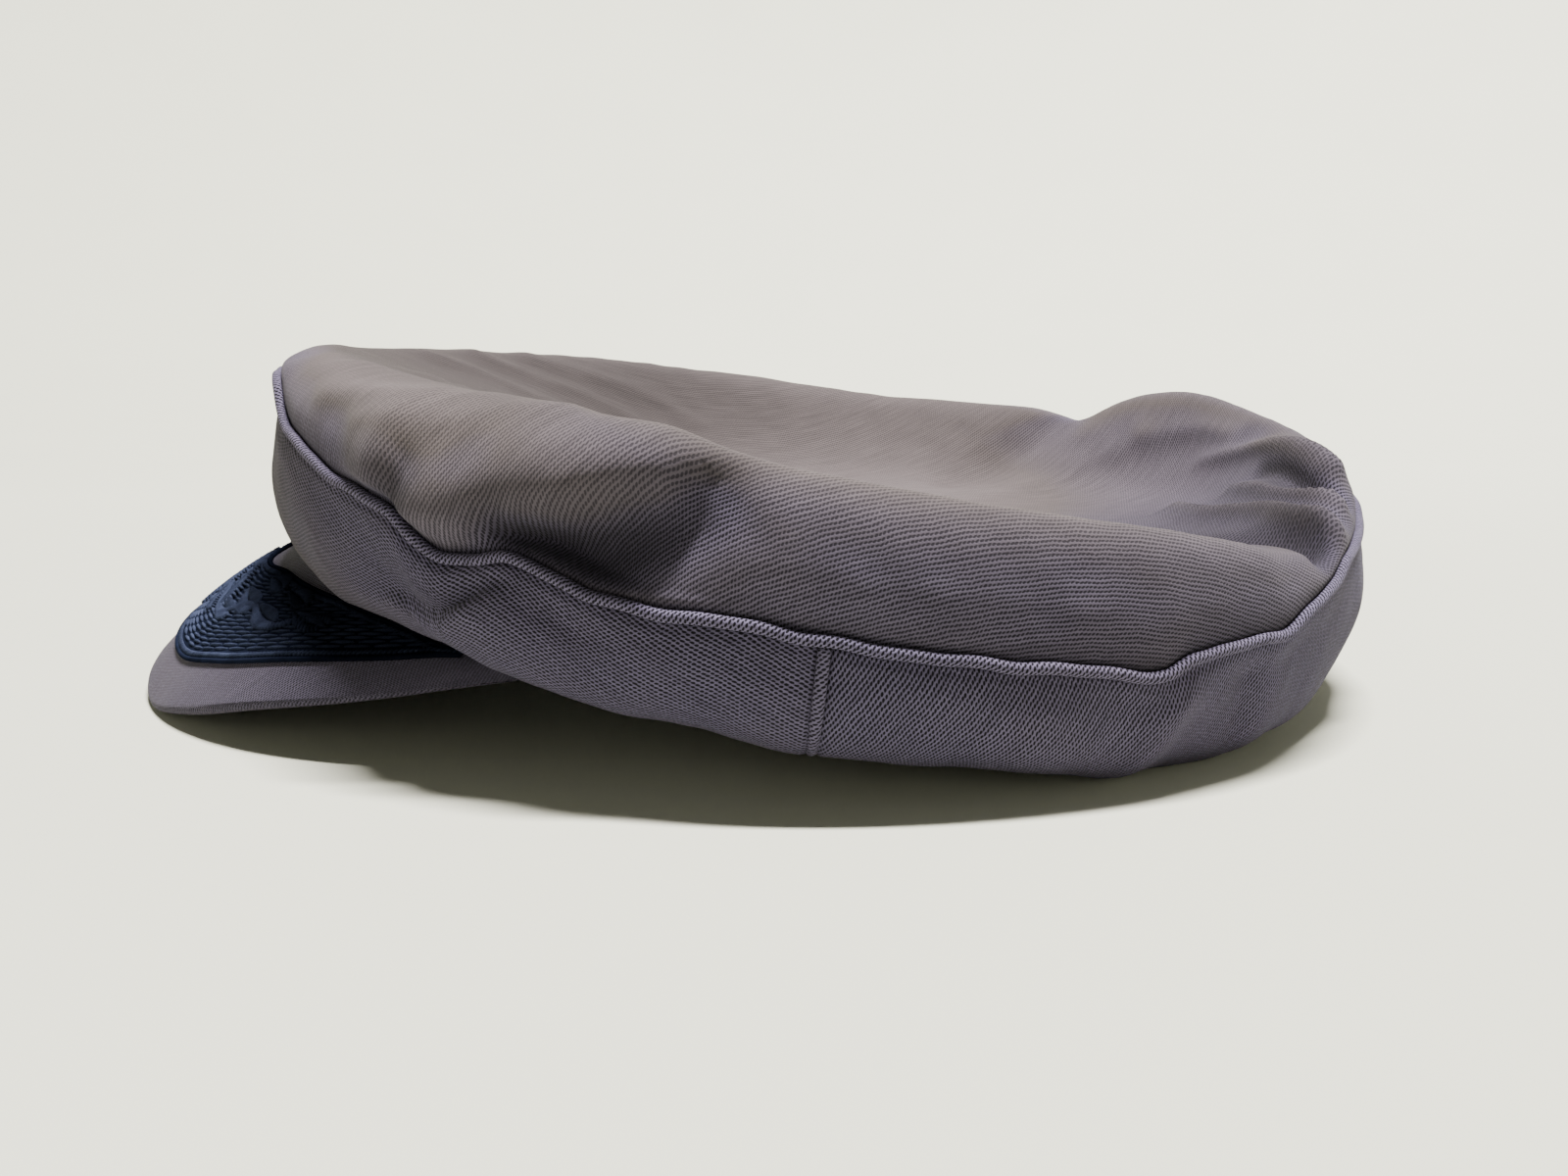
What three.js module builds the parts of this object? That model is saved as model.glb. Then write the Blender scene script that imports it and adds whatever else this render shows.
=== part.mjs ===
// Fisherman cap, lying on a table with its crown slumped, in millimetres.
// The peak points along -Y, the wearer's left is +X, up is +Z.
// While it is built, the origin is on the table under the middle of the crown.
import * as THREE from "three";

// Crown, seen from above
const CROWN_HALF_LENGTH = 138.5;
const CROWN_HALF_WIDTH = 121;
const CROWN_WALL = 1.4;
const DISH_HEIGHT = 43;
const SLOPE_OUT = 0.6;
const CLOTH_RADIUS = 140;
const FOLD_CLEAR = 9;
const SEAM_ALLOWANCE = 2.4;
const PANEL_SPLIT = 1.05;
const SIDE_SEAM = 87;

// Welts
const CROWN_WELT_RADIUS = 1.1;
const CROWN_WELT_OUT = 0.6;
const SIDE_WELT_RADIUS = 0.9;

// Head band
const BAND_HALF_LENGTH = 101;
const BAND_HALF_WIDTH = 85;
const BAND_CENTRE_Y = -30;
const BAND_WALL = 2;
const BAND_TALL = 30;
const BAND_FRONT_LIFT = 33;
const BAND_REST_Y = 27;
const SEWN_GAP = 0.55;

// Peak
const PEAK_HALF_WIDTH = 91;
const PEAK_REACH = 97.5;
const PEAK_CENTRE_Y = -77;
const PEAK_WALL = 2.8;
const PEAK_ARC = 77;
const PEAK_EDGE_ARC = 104;
const PEAK_BULGE = 2.6;
const PEAK_DROP_AT_BAND = 0.4;
const PEAK_OFF_BAND = 2.4;

// Trim on the peak
const TRIM_WALL = 1;
const TRIM_LIFT = 0.65;
const TRIM_ARC = 66;

// Chin cord
const CORD_RADIUS = 1.5;
const CORD_ARC = 20;
const CORD_RISE = 1.4;

// How finely the cloth is divided
const AROUND = 72;
const TOP_RINGS = 12;
const SIDE_RINGS = 9;

// One row for each section of the crown, by its azimuth from the front in degrees.
// An inset is measured inwards from the crown's oval.
const SECTION_COLUMNS = ["azimuth", "floorHeight", "floorShare", "ridgeInset", "ridgeHeight",
  "bellyInset", "hemInset", "hemHeight", "tuckRise"];
const SECTIONS = [
  [0, 66, 0.64, 13, 84, 0.6, 4, 42, 4],
  [20, 63, 0.62, 16.5, 81, 0.8, 5.5, 34.5, 13],
  [40, 56, 0.6, 20, 74.6, 0.9, 9, 27, 13],
  [60, 50, 0.6, 18.5, 68.6, 0.9, 9.5, 19.5, 13],
  [75, 46.5, 0.6, 12, 63.5, 0.9, 9.5, 13.5, 16],
  [90, 44, 0.6, 10.5, 57.5, 1, 9.5, 8.5, 18],
  [102, 42.5, 0.6, 10, 53.6, 1.5, 11, 4.4, 19],
  [115, 41, 0.6, 9.5, 49.5, 2.6, 14, 1.2, 20],
  [130, 39, 0.62, 9, 43.9, 4.5, 17.5, -0.6, 20],
  [140, 38.5, 0.64, 11, 41.6, 6, 21, -1, 20],
  [158, 39.5, 0.74, 16, 45.5, 6, 24.5, -1.5, 20],
  [172, 42, 0.8, 17, 57, 4, 24.5, -1.5, 20],
  [188, 43, 0.82, 15, 65, 3, 22, -1.5, 20],
  [205, 44, 0.8, 15, 71.5, 2, 18, -1, 19],
  [224, 45, 0.76, 16, 66, 1, 13, 1, 18],
  [250, 45.5, 0.72, 15, 68.5, 0.5, 11, 5, 18],
  [270, 46.5, 0.72, 14, 73, 0.5, 9.5, 11, 17],
  [300, 52, 0.7, 14, 80.5, 0.5, 9, 20, 13],
  [335, 62, 0.65, 15, 84, 0.5, 5.5, 34, 11],
];

// The seam between the top panel and the sides, with its dips and hitches.
const SEAM_COLUMNS = ["azimuth", "height", "inset"];
const SEAM = [
  [0, 77, 4],
  [12, 77, 3.8],
  [18, 76.2, 3.4],
  [24, 68.5, 2.8],
  [33.6, 60.2, 2.2],
  [45, 52.6, 2],
  [50, 45.5, 3],
  [55, 42.7, 4.8],
  [60, 43, 4.8],
  [65, 40.3, 3.3],
  [74.3, 35.7, 1.8],
  [87.8, 31.6, 1.6],
  [100, 27.6, 1.8],
  [112.8, 24.2, 2],
  [118, 22.8, 2],
  [122, 25.6, 2.5],
  [132, 26.8, 3.2],
  [143, 33.8, 5],
  [153, 39.8, 7],
  [165, 44.8, 7.8],
  [188, 50.5, 7.4],
  [205, 51.5, 6],
  [224, 50, 4],
  [250, 50, 2.6],
  [270, 54, 2.2],
  [300, 64, 2.2],
  [335, 74.5, 3.4],
];

// One row for each main fold of the top panel: a line on the cloth from one
// azimuth and distance from the seam to another, how wide it is and how high it stands.
const FOLD_COLUMNS = ["azimuth", "inset", "endAzimuth", "endInset", "width", "height"];
const TOP_FOLDS = [
  [61, 3, 78, 21, 8, -6],
  [52, 8, 72, 24, 11, 4.5],
  [47.5, 4, 49, 12, 6, -2.5],
  [20, 44, 54, 58, 9, 2.4],
  [144, 4, 150, 45, 7, -5],
  [150, 6, 172, 50, 6, 5],
  [158, 8, 174, 36, 5.5, 4],
  [169, 12, 191, 38, 6, 3],
  [217, 4, 236, 66, 10, -5],
];
const SIDE_FOLDS = [
  [59.5, -3, 47, -17, 8, -3],
  [121, -2, 116, -24, 6, 1.6],
  [128, -3, 130, -22, 6, -1.6],
];

// Height of the peak's upper edge along its rim, by the angle from the front.
const RIM_COLUMNS = ["angle", "height"];
const RIM = [
  [0, 7.6],
  [18, 3.9],
  [32, 1.2],
  [48, 4.6],
  [64, 9.6],
  [80, 13.4],
  [94, 16.4],
  [106, 17.6],
];

// Outline of the trim along the peak: shares of the way from the band to the rim.
const TRIM_COLUMNS = ["angle", "innerShare", "outerShare"];
const TRIM = [
  [0, 0.06, 0.81],
  [3, 0.07, 0.81],
  [8, 0.22, 0.795],
  [16, 0.19, 0.77],
  [28, 0.12, 0.73],
  [44, 0.12, 0.68],
  [58, 0.22, 0.61],
  [66, 0.42, 0.53],
];

function rowsByName(columns, rows) {
  return rows.map((row) => Object.fromEntries(columns.map((name, i) => [name, row[i]])));
}

// Smooth value of a column between rows, going round if a full turn is given.
function smoothColumn(rows, key, name, at, turn) {
  const count = rows.length;
  const pick = (i) => {
    if (!turn) {
      const j = Math.min(count - 1, Math.max(0, i));
      return [rows[j][key], rows[j][name]];
    }
    const lap = Math.floor(i / count);
    const row = rows[i - lap * count];
    return [row[key] + lap * turn, row[name]];
  };
  const clamped = Math.min(rows[count - 1][key], Math.max(rows[0][key], at));
  const x = turn ? ((at % turn) + turn) % turn : clamped;
  let i = 0;
  while (i < count - 1 && rows[i + 1][key] <= x) {
    i += 1;
  }
  const slope = (a, b) => (b[0] === a[0] ? 0 : (b[1] - a[1]) / (b[0] - a[0]));
  const before = pick(i - 1);
  const start = pick(i);
  const end = pick(i + 1);
  const after = pick(i + 2);
  const span = end[0] - start[0];
  if (span === 0) {
    return start[1];
  }
  const limit = (a, b) => (a * b <= 0 ? 0 : (2 * a * b) / (a + b));
  const here = slope(start, end);
  const into = limit(slope(before, start), here);
  const out = limit(here, slope(end, after));
  const t = (x - start[0]) / span;
  const t2 = t * t;
  const t3 = t2 * t;
  return start[1] * (2 * t3 - 3 * t2 + 1) + into * span * (t3 - 2 * t2 + t)
    + end[1] * (3 * t2 - 2 * t3) + out * span * (t3 - t2);
}

const sections = rowsByName(SECTION_COLUMNS, SECTIONS);
const topFolds = rowsByName(FOLD_COLUMNS, TOP_FOLDS);
const sideFolds = rowsByName(FOLD_COLUMNS, SIDE_FOLDS);
const seam = rowsByName(SEAM_COLUMNS, SEAM);
const rim = rowsByName(RIM_COLUMNS, RIM);
const trim = rowsByName(TRIM_COLUMNS, TRIM);

function heading(azimuth) {
  const a = THREE.MathUtils.degToRad(azimuth);
  return new THREE.Vector2(Math.sin(a), -Math.cos(a));
}

function ovalReach(azimuth, halfLength, halfWidth) {
  const d = heading(azimuth);
  return 1 / Math.hypot(d.x / halfWidth, d.y / halfLength);
}

// How far the band's outside is from the crown's middle along an azimuth.
function bandReach(azimuth, grow) {
  const d = heading(azimuth);
  const w = BAND_HALF_WIDTH + grow;
  const l = BAND_HALF_LENGTH + grow;
  const a = (d.x / w) ** 2 + (d.y / l) ** 2;
  const b = (-2 * d.y * BAND_CENTRE_Y) / l ** 2;
  const c = (BAND_CENTRE_Y / l) ** 2 - 1;
  return (-b + Math.sqrt(b * b - 4 * a * c)) / (2 * a);
}

function bandBottom(y) {
  const front = BAND_CENTRE_Y - BAND_HALF_LENGTH;
  return Math.max(0, (BAND_FRONT_LIFT * (BAND_REST_Y - y)) / (BAND_REST_Y - front));
}

function section(azimuth) {
  const value = (name) => smoothColumn(sections, "azimuth", name, azimuth, 360);
  const sewn = (name) => smoothColumn(seam, "azimuth", name, azimuth, 360);
  const reach = ovalReach(azimuth, CROWN_HALF_LENGTH, CROWN_HALF_WIDTH);
  const ridge = { r: reach - value("ridgeInset"), z: value("ridgeHeight") };
  return {
    floor: { r: value("floorShare") * ridge.r, z: value("floorHeight") },
    ridge,
    seam: { r: reach - sewn("inset"), z: sewn("height") },
    belly: reach - value("bellyInset"),
    hem: { r: reach - value("hemInset"), z: value("hemHeight") },
    tuckRise: value("tuckRise"),
  };
}

function meridian(azimuth, stops) {
  const d = heading(azimuth);
  const points = stops.map(([r, z]) => new THREE.Vector3(d.x * r, d.y * r, z));
  const curve = new THREE.CatmullRomCurve3(points, false, "centripetal");
  curve.arcLengthDivisions = 120;
  return curve;
}

// From the middle of the dish over the ridge to the seam.
function topCurve(azimuth) {
  const s = section(azimuth);
  const out = s.seam.r + SLOPE_OUT - s.ridge.r;
  const drop = s.ridge.z - s.seam.z;
  return meridian(azimuth, [
    [0, DISH_HEIGHT],
    [s.floor.r, s.floor.z],
    [s.ridge.r, s.ridge.z],
    [s.ridge.r + 0.55 * out, s.ridge.z - 0.13 * drop],
    [s.ridge.r + 0.88 * out, s.ridge.z - 0.52 * drop],
    [s.seam.r, s.seam.z],
  ]);
}

// From the seam over the belly and the bottom fold to the band.
function sideCurve(azimuth) {
  const s = section(azimuth);
  const tall = s.seam.z - s.hem.z;
  const sewn = bandReach(azimuth, SEWN_GAP);
  const fold = Math.min(8, 0.4 * (s.hem.r - sewn));
  return meridian(azimuth, [
    [s.seam.r, s.seam.z],
    [s.belly, s.hem.z + 0.55 * tall],
    [s.hem.r + 0.65 * (s.belly - s.hem.r), s.hem.z + 0.18 * tall],
    [s.hem.r, s.hem.z],
    [s.hem.r - fold, s.hem.z + 0.06 * s.tuckRise],
    [sewn, s.hem.z + s.tuckRise],
  ]);
}

// How far the folds move a place on the cloth, out along its normal.
function foldHeight(folds, azimuth, inset) {
  const place = (a, gap) => heading(a).multiplyScalar(CLOTH_RADIUS - gap);
  const at = place(azimuth, inset);
  let sum = 0;
  for (const fold of folds) {
    const start = place(fold.azimuth, fold.inset);
    const along = place(fold.endAzimuth, fold.endInset).sub(start);
    const t = at.clone().sub(start).dot(along) / along.lengthSq();
    const near = start.clone().addScaledVector(along, Math.min(1, Math.max(0, t)));
    const fade = 1 - 0.6 * Math.min(1, Math.max(0, t));
    sum += fold.height * fade * Math.exp(-at.distanceToSquared(near) / fold.width ** 2);
  }
  return sum * THREE.MathUtils.smoothstep(Math.abs(inset), SEAM_ALLOWANCE, FOLD_CLEAR);
}

// Points of a grid moved out along the grid's own normals. Rows run around, columns outwards.
function moved(grid, closed, amount) {
  const rows = grid.length;
  return grid.map((row, i) => row.map((p, j) => {
    const ahead = grid[closed ? (i + 1) % rows : Math.min(rows - 1, i + 1)][j];
    const behind = grid[closed ? (i + rows - 1) % rows : Math.max(0, i - 1)][j];
    const outer = row[Math.min(row.length - 1, j + 1)];
    const inner = row[Math.max(0, j - 1)];
    const around = new THREE.Vector3().subVectors(ahead, behind);
    const along = new THREE.Vector3().subVectors(outer, inner);
    const normal = new THREE.Vector3().crossVectors(along, around).normalize();
    return p.clone().addScaledVector(normal, amount(i, j));
  }));
}

// A closed wall between an outer and an inner grid of the same size.
function wallGeometry(outer, inner, closed, pole) {
  const positions = [];
  const faces = [];
  const number = (grid) => {
    const tip = pole ? positions.push(pole(grid)) - 1 : -1;
    return grid.map((row) => row.map((p, j) => (pole && j === 0 ? tip : positions.push(p) - 1)));
  };
  const out = number(outer);
  const back = number(inner);
  const triangle = (a, b, c) => {
    if (a !== b && b !== c && c !== a) {
      faces.push(a, b, c);
    }
  };
  const quad = (a, b, c, d) => {
    triangle(a, b, c);
    triangle(a, c, d);
  };
  const rows = outer.length;
  const last = outer[0].length - 1;
  for (let i = 0; i < (closed ? rows : rows - 1); i += 1) {
    const k = (i + 1) % rows;
    for (let j = 0; j < last; j += 1) {
      quad(out[i][j], out[i][j + 1], out[k][j + 1], out[k][j]);
      quad(back[i][j], back[k][j], back[k][j + 1], back[i][j + 1]);
    }
    quad(out[i][last], back[i][last], back[k][last], out[k][last]);
    if (!pole) {
      quad(out[i][0], out[k][0], back[k][0], back[i][0]);
    }
  }
  if (!closed) {
    const end = rows - 1;
    for (let j = 0; j < last; j += 1) {
      quad(out[0][j], back[0][j], back[0][j + 1], out[0][j + 1]);
      quad(out[end][j], out[end][j + 1], back[end][j + 1], back[end][j]);
    }
  }
  const geometry = new THREE.BufferGeometry();
  geometry.setAttribute("position", new THREE.Float32BufferAttribute(
    positions.flatMap((p) => [p.x, p.y, p.z]), 3));
  geometry.setIndex(faces);
  geometry.computeVertexNormals();
  return geometry;
}

function onTable(grid) {
  return grid.map((row) => row.map((p) => new THREE.Vector3(p.x, p.y, Math.max(0, p.z))));
}

// The azimuths of a run of sections; the crown's sections step evenly round.
function steps(from, to, count) {
  const size = (to - from) / count;
  return Array.from({ length: count + 1 }, (_, i) => (i === count ? to : from + size * i));
}

const crownAzimuths = steps(0, 360, AROUND).slice(0, AROUND);

function crownTopGeometry() {
  const insets = [];
  const base = crownAzimuths.map((azimuth) => {
    const curve = topCurve(azimuth);
    const length = curve.getLength();
    const used = 1 - SEAM_ALLOWANCE / length;
    const stops = steps(0, Math.PI / 2, TOP_RINGS).map((turn) => used * Math.sin(turn) ** 0.9);
    insets.push(stops.map((s) => length * (1 - s)));
    return stops.map((s) => curve.getPointAt(s));
  });
  const folded = moved(base, true, (i, j) => (
    j === 0 ? 0 : foldHeight(topFolds, crownAzimuths[i], insets[i][j])));
  const inner = moved(folded, true, (i, j) => (j === 0 ? 0 : -CROWN_WALL));
  const pole = (grid) => new THREE.Vector3(0, 0, DISH_HEIGHT - (grid === inner ? CROWN_WALL : 0));
  return wallGeometry(folded, inner, true, pole);
}

function sidePanelGeometry(from, to) {
  const azimuths = steps(from, to, AROUND / 2);
  const insets = [];
  const base = azimuths.map((azimuth) => {
    const curve = sideCurve(azimuth);
    const length = curve.getLength();
    const stops = steps(SEAM_ALLOWANCE / length, 1, SIDE_RINGS);
    insets.push(stops.map((s) => -length * s));
    return stops.map((s) => curve.getPointAt(s));
  });
  const folded = onTable(moved(base, false, (i, j) => foldHeight(sideFolds, azimuths[i], insets[i][j])));
  const inner = moved(folded, false, () => -CROWN_WALL);
  return wallGeometry(folded, inner, false);
}

// A tube made of rings, each ring round its own point of the run.
function ringTube(points, radius, sides, closed) {
  const count = points.length;
  const grid = points.map((p, i) => {
    const ahead = points[closed ? (i + 1) % count : Math.min(count - 1, i + 1)];
    const behind = points[closed ? (i + count - 1) % count : Math.max(0, i - 1)];
    const along = new THREE.Vector3().subVectors(ahead, behind).normalize();
    const side = new THREE.Vector3(0, 0, 1).cross(along).normalize();
    const up = new THREE.Vector3().crossVectors(along, side);
    return steps(0, 360, sides).slice(0, sides).map((turn) => {
      const a = THREE.MathUtils.degToRad(turn);
      const ring = p.clone().addScaledVector(side, radius * Math.cos(a));
      return ring.addScaledVector(up, radius * Math.sin(a));
    });
  });
  const positions = grid.flat();
  const faces = [];
  for (let i = 0; i < (closed ? count : count - 1); i += 1) {
    const k = (i + 1) % count;
    for (let j = 0; j < sides; j += 1) {
      const n = (j + 1) % sides;
      faces.push(i * sides + j, i * sides + n, k * sides + n);
      faces.push(i * sides + j, k * sides + n, k * sides + j);
    }
  }
  if (!closed) {
    const end = (count - 1) * sides;
    for (let j = 1; j < sides - 1; j += 1) {
      faces.push(0, j + 1, j);
      faces.push(end, end + j, end + j + 1);
    }
  }
  const geometry = new THREE.BufferGeometry();
  geometry.setAttribute("position", new THREE.Float32BufferAttribute(
    positions.flatMap((p) => [p.x, p.y, p.z]), 3));
  geometry.setIndex(faces);
  geometry.computeVertexNormals();
  return geometry;
}

function crownWeltGeometry() {
  const line = crownAzimuths.map((azimuth) => {
    const s = section(azimuth);
    const d = heading(azimuth);
    const r = s.seam.r + CROWN_WELT_OUT;
    return new THREE.Vector3(d.x * r, d.y * r, s.seam.z);
  });
  return ringTube(line, CROWN_WELT_RADIUS, 6, true);
}

function sideWeltGeometry(azimuth) {
  const curve = sideCurve(azimuth);
  const length = curve.getLength();
  const start = (CROWN_WELT_RADIUS + SEAM_ALLOWANCE) / length;
  const line = steps(start, 0.94, 12).map((s) => {
    const p = curve.getPointAt(s);
    return new THREE.Vector3(p.x, p.y, Math.max(SIDE_WELT_RADIUS, p.z));
  });
  return ringTube(line, SIDE_WELT_RADIUS, 6, false);
}

function bandGeometry() {
  const grid = (grow) => crownAzimuths.map((azimuth) => {
    const a = THREE.MathUtils.degToRad(azimuth);
    const x = (BAND_HALF_WIDTH + grow) * Math.sin(a);
    const y = BAND_CENTRE_Y - (BAND_HALF_LENGTH + grow) * Math.cos(a);
    const low = bandBottom(BAND_CENTRE_Y - BAND_HALF_LENGTH * Math.cos(a));
    return [new THREE.Vector3(x, y, low + BAND_TALL), new THREE.Vector3(x, y, low)];
  });
  return wallGeometry(grid(0), grid(-BAND_WALL), true);
}

// A place on the top of the peak: an angle along it, and a share of the way to its rim.
function peakPoint(angle, share) {
  const a = THREE.MathUtils.degToRad(angle);
  const start = new THREE.Vector3((BAND_HALF_WIDTH + PEAK_OFF_BAND) * Math.sin(a),
    BAND_CENTRE_Y - (BAND_HALF_LENGTH + PEAK_OFF_BAND) * Math.cos(a), 0);
  start.z = bandBottom(start.y) + PEAK_WALL - PEAK_DROP_AT_BAND;
  const turn = (angle * PEAK_EDGE_ARC) / PEAK_ARC;
  const b = THREE.MathUtils.degToRad(turn);
  const end = new THREE.Vector3(PEAK_HALF_WIDTH * Math.sin(b), PEAK_CENTRE_Y - PEAK_REACH * Math.cos(b),
    smoothColumn(rim, "angle", "height", Math.abs(turn)));
  const p = start.clone().lerp(end, share);
  const arch = PEAK_BULGE * 4 * share * (1 - share);
  p.z += arch * 0.8;
  p.y -= arch * 0.6 * Math.cos(b);
  p.x += arch * 0.6 * Math.sin(b);
  return p;
}

function peakGrid(angles, shares) {
  return angles.map((angle) => shares(angle).map((share) => peakPoint(angle, share)));
}

function peakGeometry() {
  const angles = steps(-PEAK_ARC, PEAK_ARC, 30);
  const top = peakGrid(angles, () => steps(0, 1, 5));
  return wallGeometry(top, onTable(moved(top, false, () => -PEAK_WALL)), false);
}

function peakTrimGeometry() {
  const angles = steps(-TRIM_ARC, TRIM_ARC, 36);
  const shares = (angle) => {
    const from = smoothColumn(trim, "angle", "innerShare", Math.abs(angle));
    const to = smoothColumn(trim, "angle", "outerShare", Math.abs(angle));
    return steps(from, to, 3);
  };
  const bed = peakGrid(angles, shares);
  const under = moved(bed, false, () => TRIM_LIFT);
  return wallGeometry(moved(bed, false, () => TRIM_LIFT + TRIM_WALL), under, false);
}

// A place on the outside of the band, a little way off it and up from its bottom edge.
function onBand(angle, off, rise) {
  const a = THREE.MathUtils.degToRad(angle);
  const y = BAND_CENTRE_Y - (BAND_HALF_LENGTH + off) * Math.cos(a);
  return new THREE.Vector3((BAND_HALF_WIDTH + off) * Math.sin(a), y, bandBottom(y) + rise);
}

function chinCordGeometry() {
  const line = steps(-CORD_ARC, CORD_ARC, 24).map((angle) => (
    onBand(angle, CORD_RADIUS + 0.4, PEAK_WALL + CORD_RISE)));
  return ringTube(line, CORD_RADIUS, 8, false);
}

const cap = new THREE.Group();
cap.name = "fisherman_cap";

function add(name, geometry, colour, roughness) {
  const material = new THREE.MeshStandardMaterial({ color: colour, roughness, metalness: 0 });
  const mesh = new THREE.Mesh(geometry, material);
  mesh.name = name;
  cap.add(mesh);
}

const TWILL = 0x635d6b;
const NAVY = 0x232842;
add("crown_top", crownTopGeometry(), TWILL, 0.92);
add("side_front", sidePanelGeometry(-SIDE_SEAM + PANEL_SPLIT, SIDE_SEAM - PANEL_SPLIT), TWILL, 0.92);
add("side_rear", sidePanelGeometry(SIDE_SEAM + PANEL_SPLIT, 360 - SIDE_SEAM - PANEL_SPLIT), TWILL, 0.92);
add("crown_welt", crownWeltGeometry(), TWILL, 0.92);
add("side_welt_left", sideWeltGeometry(SIDE_SEAM), TWILL, 0.92);
add("side_welt_right", sideWeltGeometry(-SIDE_SEAM), TWILL, 0.92);
add("band", bandGeometry(), TWILL, 0.92);
add("peak", peakGeometry(), TWILL, 0.92);
add("peak_trim", peakTrimGeometry(), NAVY, 0.8);
add("chin_cord", chinCordGeometry(), NAVY, 0.7);

// The finished cap stands over the middle of its own outline.
const box = new THREE.Box3().setFromObject(cap);
const middle = box.getCenter(new THREE.Vector3());
cap.children.forEach((mesh) => mesh.geometry.translate(-middle.x, -middle.y, -box.min.z));

export default cap;
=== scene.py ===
import math

import bpy
import numpy as np
from mathutils import Matrix, Vector


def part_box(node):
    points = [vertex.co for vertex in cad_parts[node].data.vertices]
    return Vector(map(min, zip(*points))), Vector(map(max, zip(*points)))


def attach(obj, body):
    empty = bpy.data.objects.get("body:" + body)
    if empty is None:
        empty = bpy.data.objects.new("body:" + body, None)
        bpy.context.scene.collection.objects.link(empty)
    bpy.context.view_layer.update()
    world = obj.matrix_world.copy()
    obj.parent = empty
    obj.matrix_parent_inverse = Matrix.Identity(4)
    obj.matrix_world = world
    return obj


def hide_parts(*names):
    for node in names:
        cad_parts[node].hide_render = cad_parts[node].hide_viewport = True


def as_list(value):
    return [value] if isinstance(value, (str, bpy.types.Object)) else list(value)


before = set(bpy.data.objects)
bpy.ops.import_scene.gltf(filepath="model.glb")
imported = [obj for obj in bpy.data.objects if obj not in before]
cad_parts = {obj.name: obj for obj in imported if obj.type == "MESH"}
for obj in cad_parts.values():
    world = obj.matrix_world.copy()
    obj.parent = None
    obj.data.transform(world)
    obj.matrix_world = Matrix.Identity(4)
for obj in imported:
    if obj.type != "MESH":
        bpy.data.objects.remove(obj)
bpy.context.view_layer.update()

mm = 0.001

# The crown's sections go round its middle, 30 mm behind the middle of the band.
bandLow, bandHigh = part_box("band")
crownMiddle = np.array([(bandLow.x + bandHigh.x) / 2, (bandLow.y + bandHigh.y) / 2 + 0.030, 0.0])


# Small tools shared by all the pieces

def toLinear(hexColour):  # sRGB hex to the linear values that the sockets take
    parts = [int(hexColour[i:i + 2], 16) / 255 for i in (1, 3, 5)]
    return [c / 12.92 if c <= 0.04045 else ((c + 0.055) / 1.055) ** 2.4 for c in parts] + [1.0]


def addNode(tree, kind, settings=None, inputs=None):  # inputs: a value, a node, or a node and its output
    node = tree.nodes.new("ShaderNode" + kind)
    for name, value in (settings or {}).items():
        setattr(node, name, value)
    for socket, value in (inputs or {}).items():
        if isinstance(value, bpy.types.Node):
            value = (value, 0)
        if isinstance(value, tuple) and isinstance(value[0], bpy.types.Node):
            tree.links.new(value[0].outputs[value[1]], node.inputs[socket])
        else:
            node.inputs[socket].default_value = value
    return node


def newMaterial(name):
    material = bpy.data.materials.new(name)
    material.use_nodes = True
    material.node_tree.nodes.clear()
    return material, material.node_tree


def deselectAll():
    if bpy.context.object and bpy.context.object.mode != "OBJECT":
        bpy.ops.object.mode_set(mode="OBJECT")
    bpy.ops.object.select_all(action="DESELECT")


def selectOnly(pieces):
    deselectAll()
    for piece in pieces:
        piece.select_set(True)
    bpy.context.view_layer.objects.active = pieces[0]


def thickened(piece, wall):  # cloth thickness, inwards
    selectOnly([piece])
    modifier = piece.modifiers.new("Solidify", "SOLIDIFY")
    modifier.thickness = wall * mm
    modifier.offset = -1
    bpy.ops.object.modifier_apply(modifier=modifier.name)


def joined(pieces, name):
    selectOnly(pieces)
    bpy.ops.object.join()
    piece = bpy.context.object
    piece.name = piece.data.name = name
    return piece


def ramp(value, start, end):  # 0 at the start, 1 at the end
    return np.clip((value - start) / (end - start), 0, 1)


def eased(t):
    return t * t * (3 - 2 * t)


def unit(v):
    return v / np.maximum(np.linalg.norm(v, axis=-1, keepdims=True), 1e-12)


def heading(azimuth):  # plan direction, 0 at the front and 90 on the wearer's left
    a = np.radians(azimuth)
    return np.stack([np.sin(a), -np.cos(a)], axis=-1)


def hermite(t, start, leave, end, arrive):
    return (start * (2 * t**3 - 3 * t**2 + 1) + leave * (t**3 - 2 * t**2 + t)
            + end * (3 * t**2 - 2 * t**3) + arrive * (t**3 - t**2))


def tableAt(rows, at, turn=None):  # smooth value of every column, going round if a full turn is given
    rows = np.asarray(rows, float)
    at = np.asarray(at, float)
    if turn:
        at = at % turn
        shift = np.zeros(rows.shape[1])
        shift[0] = turn
        rows = np.vstack([rows[-2:] - shift, rows, rows[:2] + shift])
    x, y = rows[:, 0], rows[:, 1:]
    slope = np.diff(y, axis=0) / np.diff(x)[:, None]
    before, after = slope[:-1], slope[1:]
    both = before + after
    lean = np.where(before * after > 0, 2 * before * after / np.where(both == 0, 1, both), 0)
    tangent = np.pad(lean, ((1, 1), (0, 0)))
    i = np.clip(np.searchsorted(x, at, side="right") - 1, 0, len(x) - 2)
    span = (x[i + 1] - x[i])[..., None]
    t = np.clip((at - x[i])[..., None] / span, 0, 1)
    return hermite(t, y[i], tangent[i] * span, y[i + 1], tangent[i + 1] * span)


def aheadOf(line, closed):  # the way on at each place of a line
    if closed:
        return np.roll(line, -1, axis=0) - np.roll(line, 1, axis=0)
    return np.gradient(line, axis=0)


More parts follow.
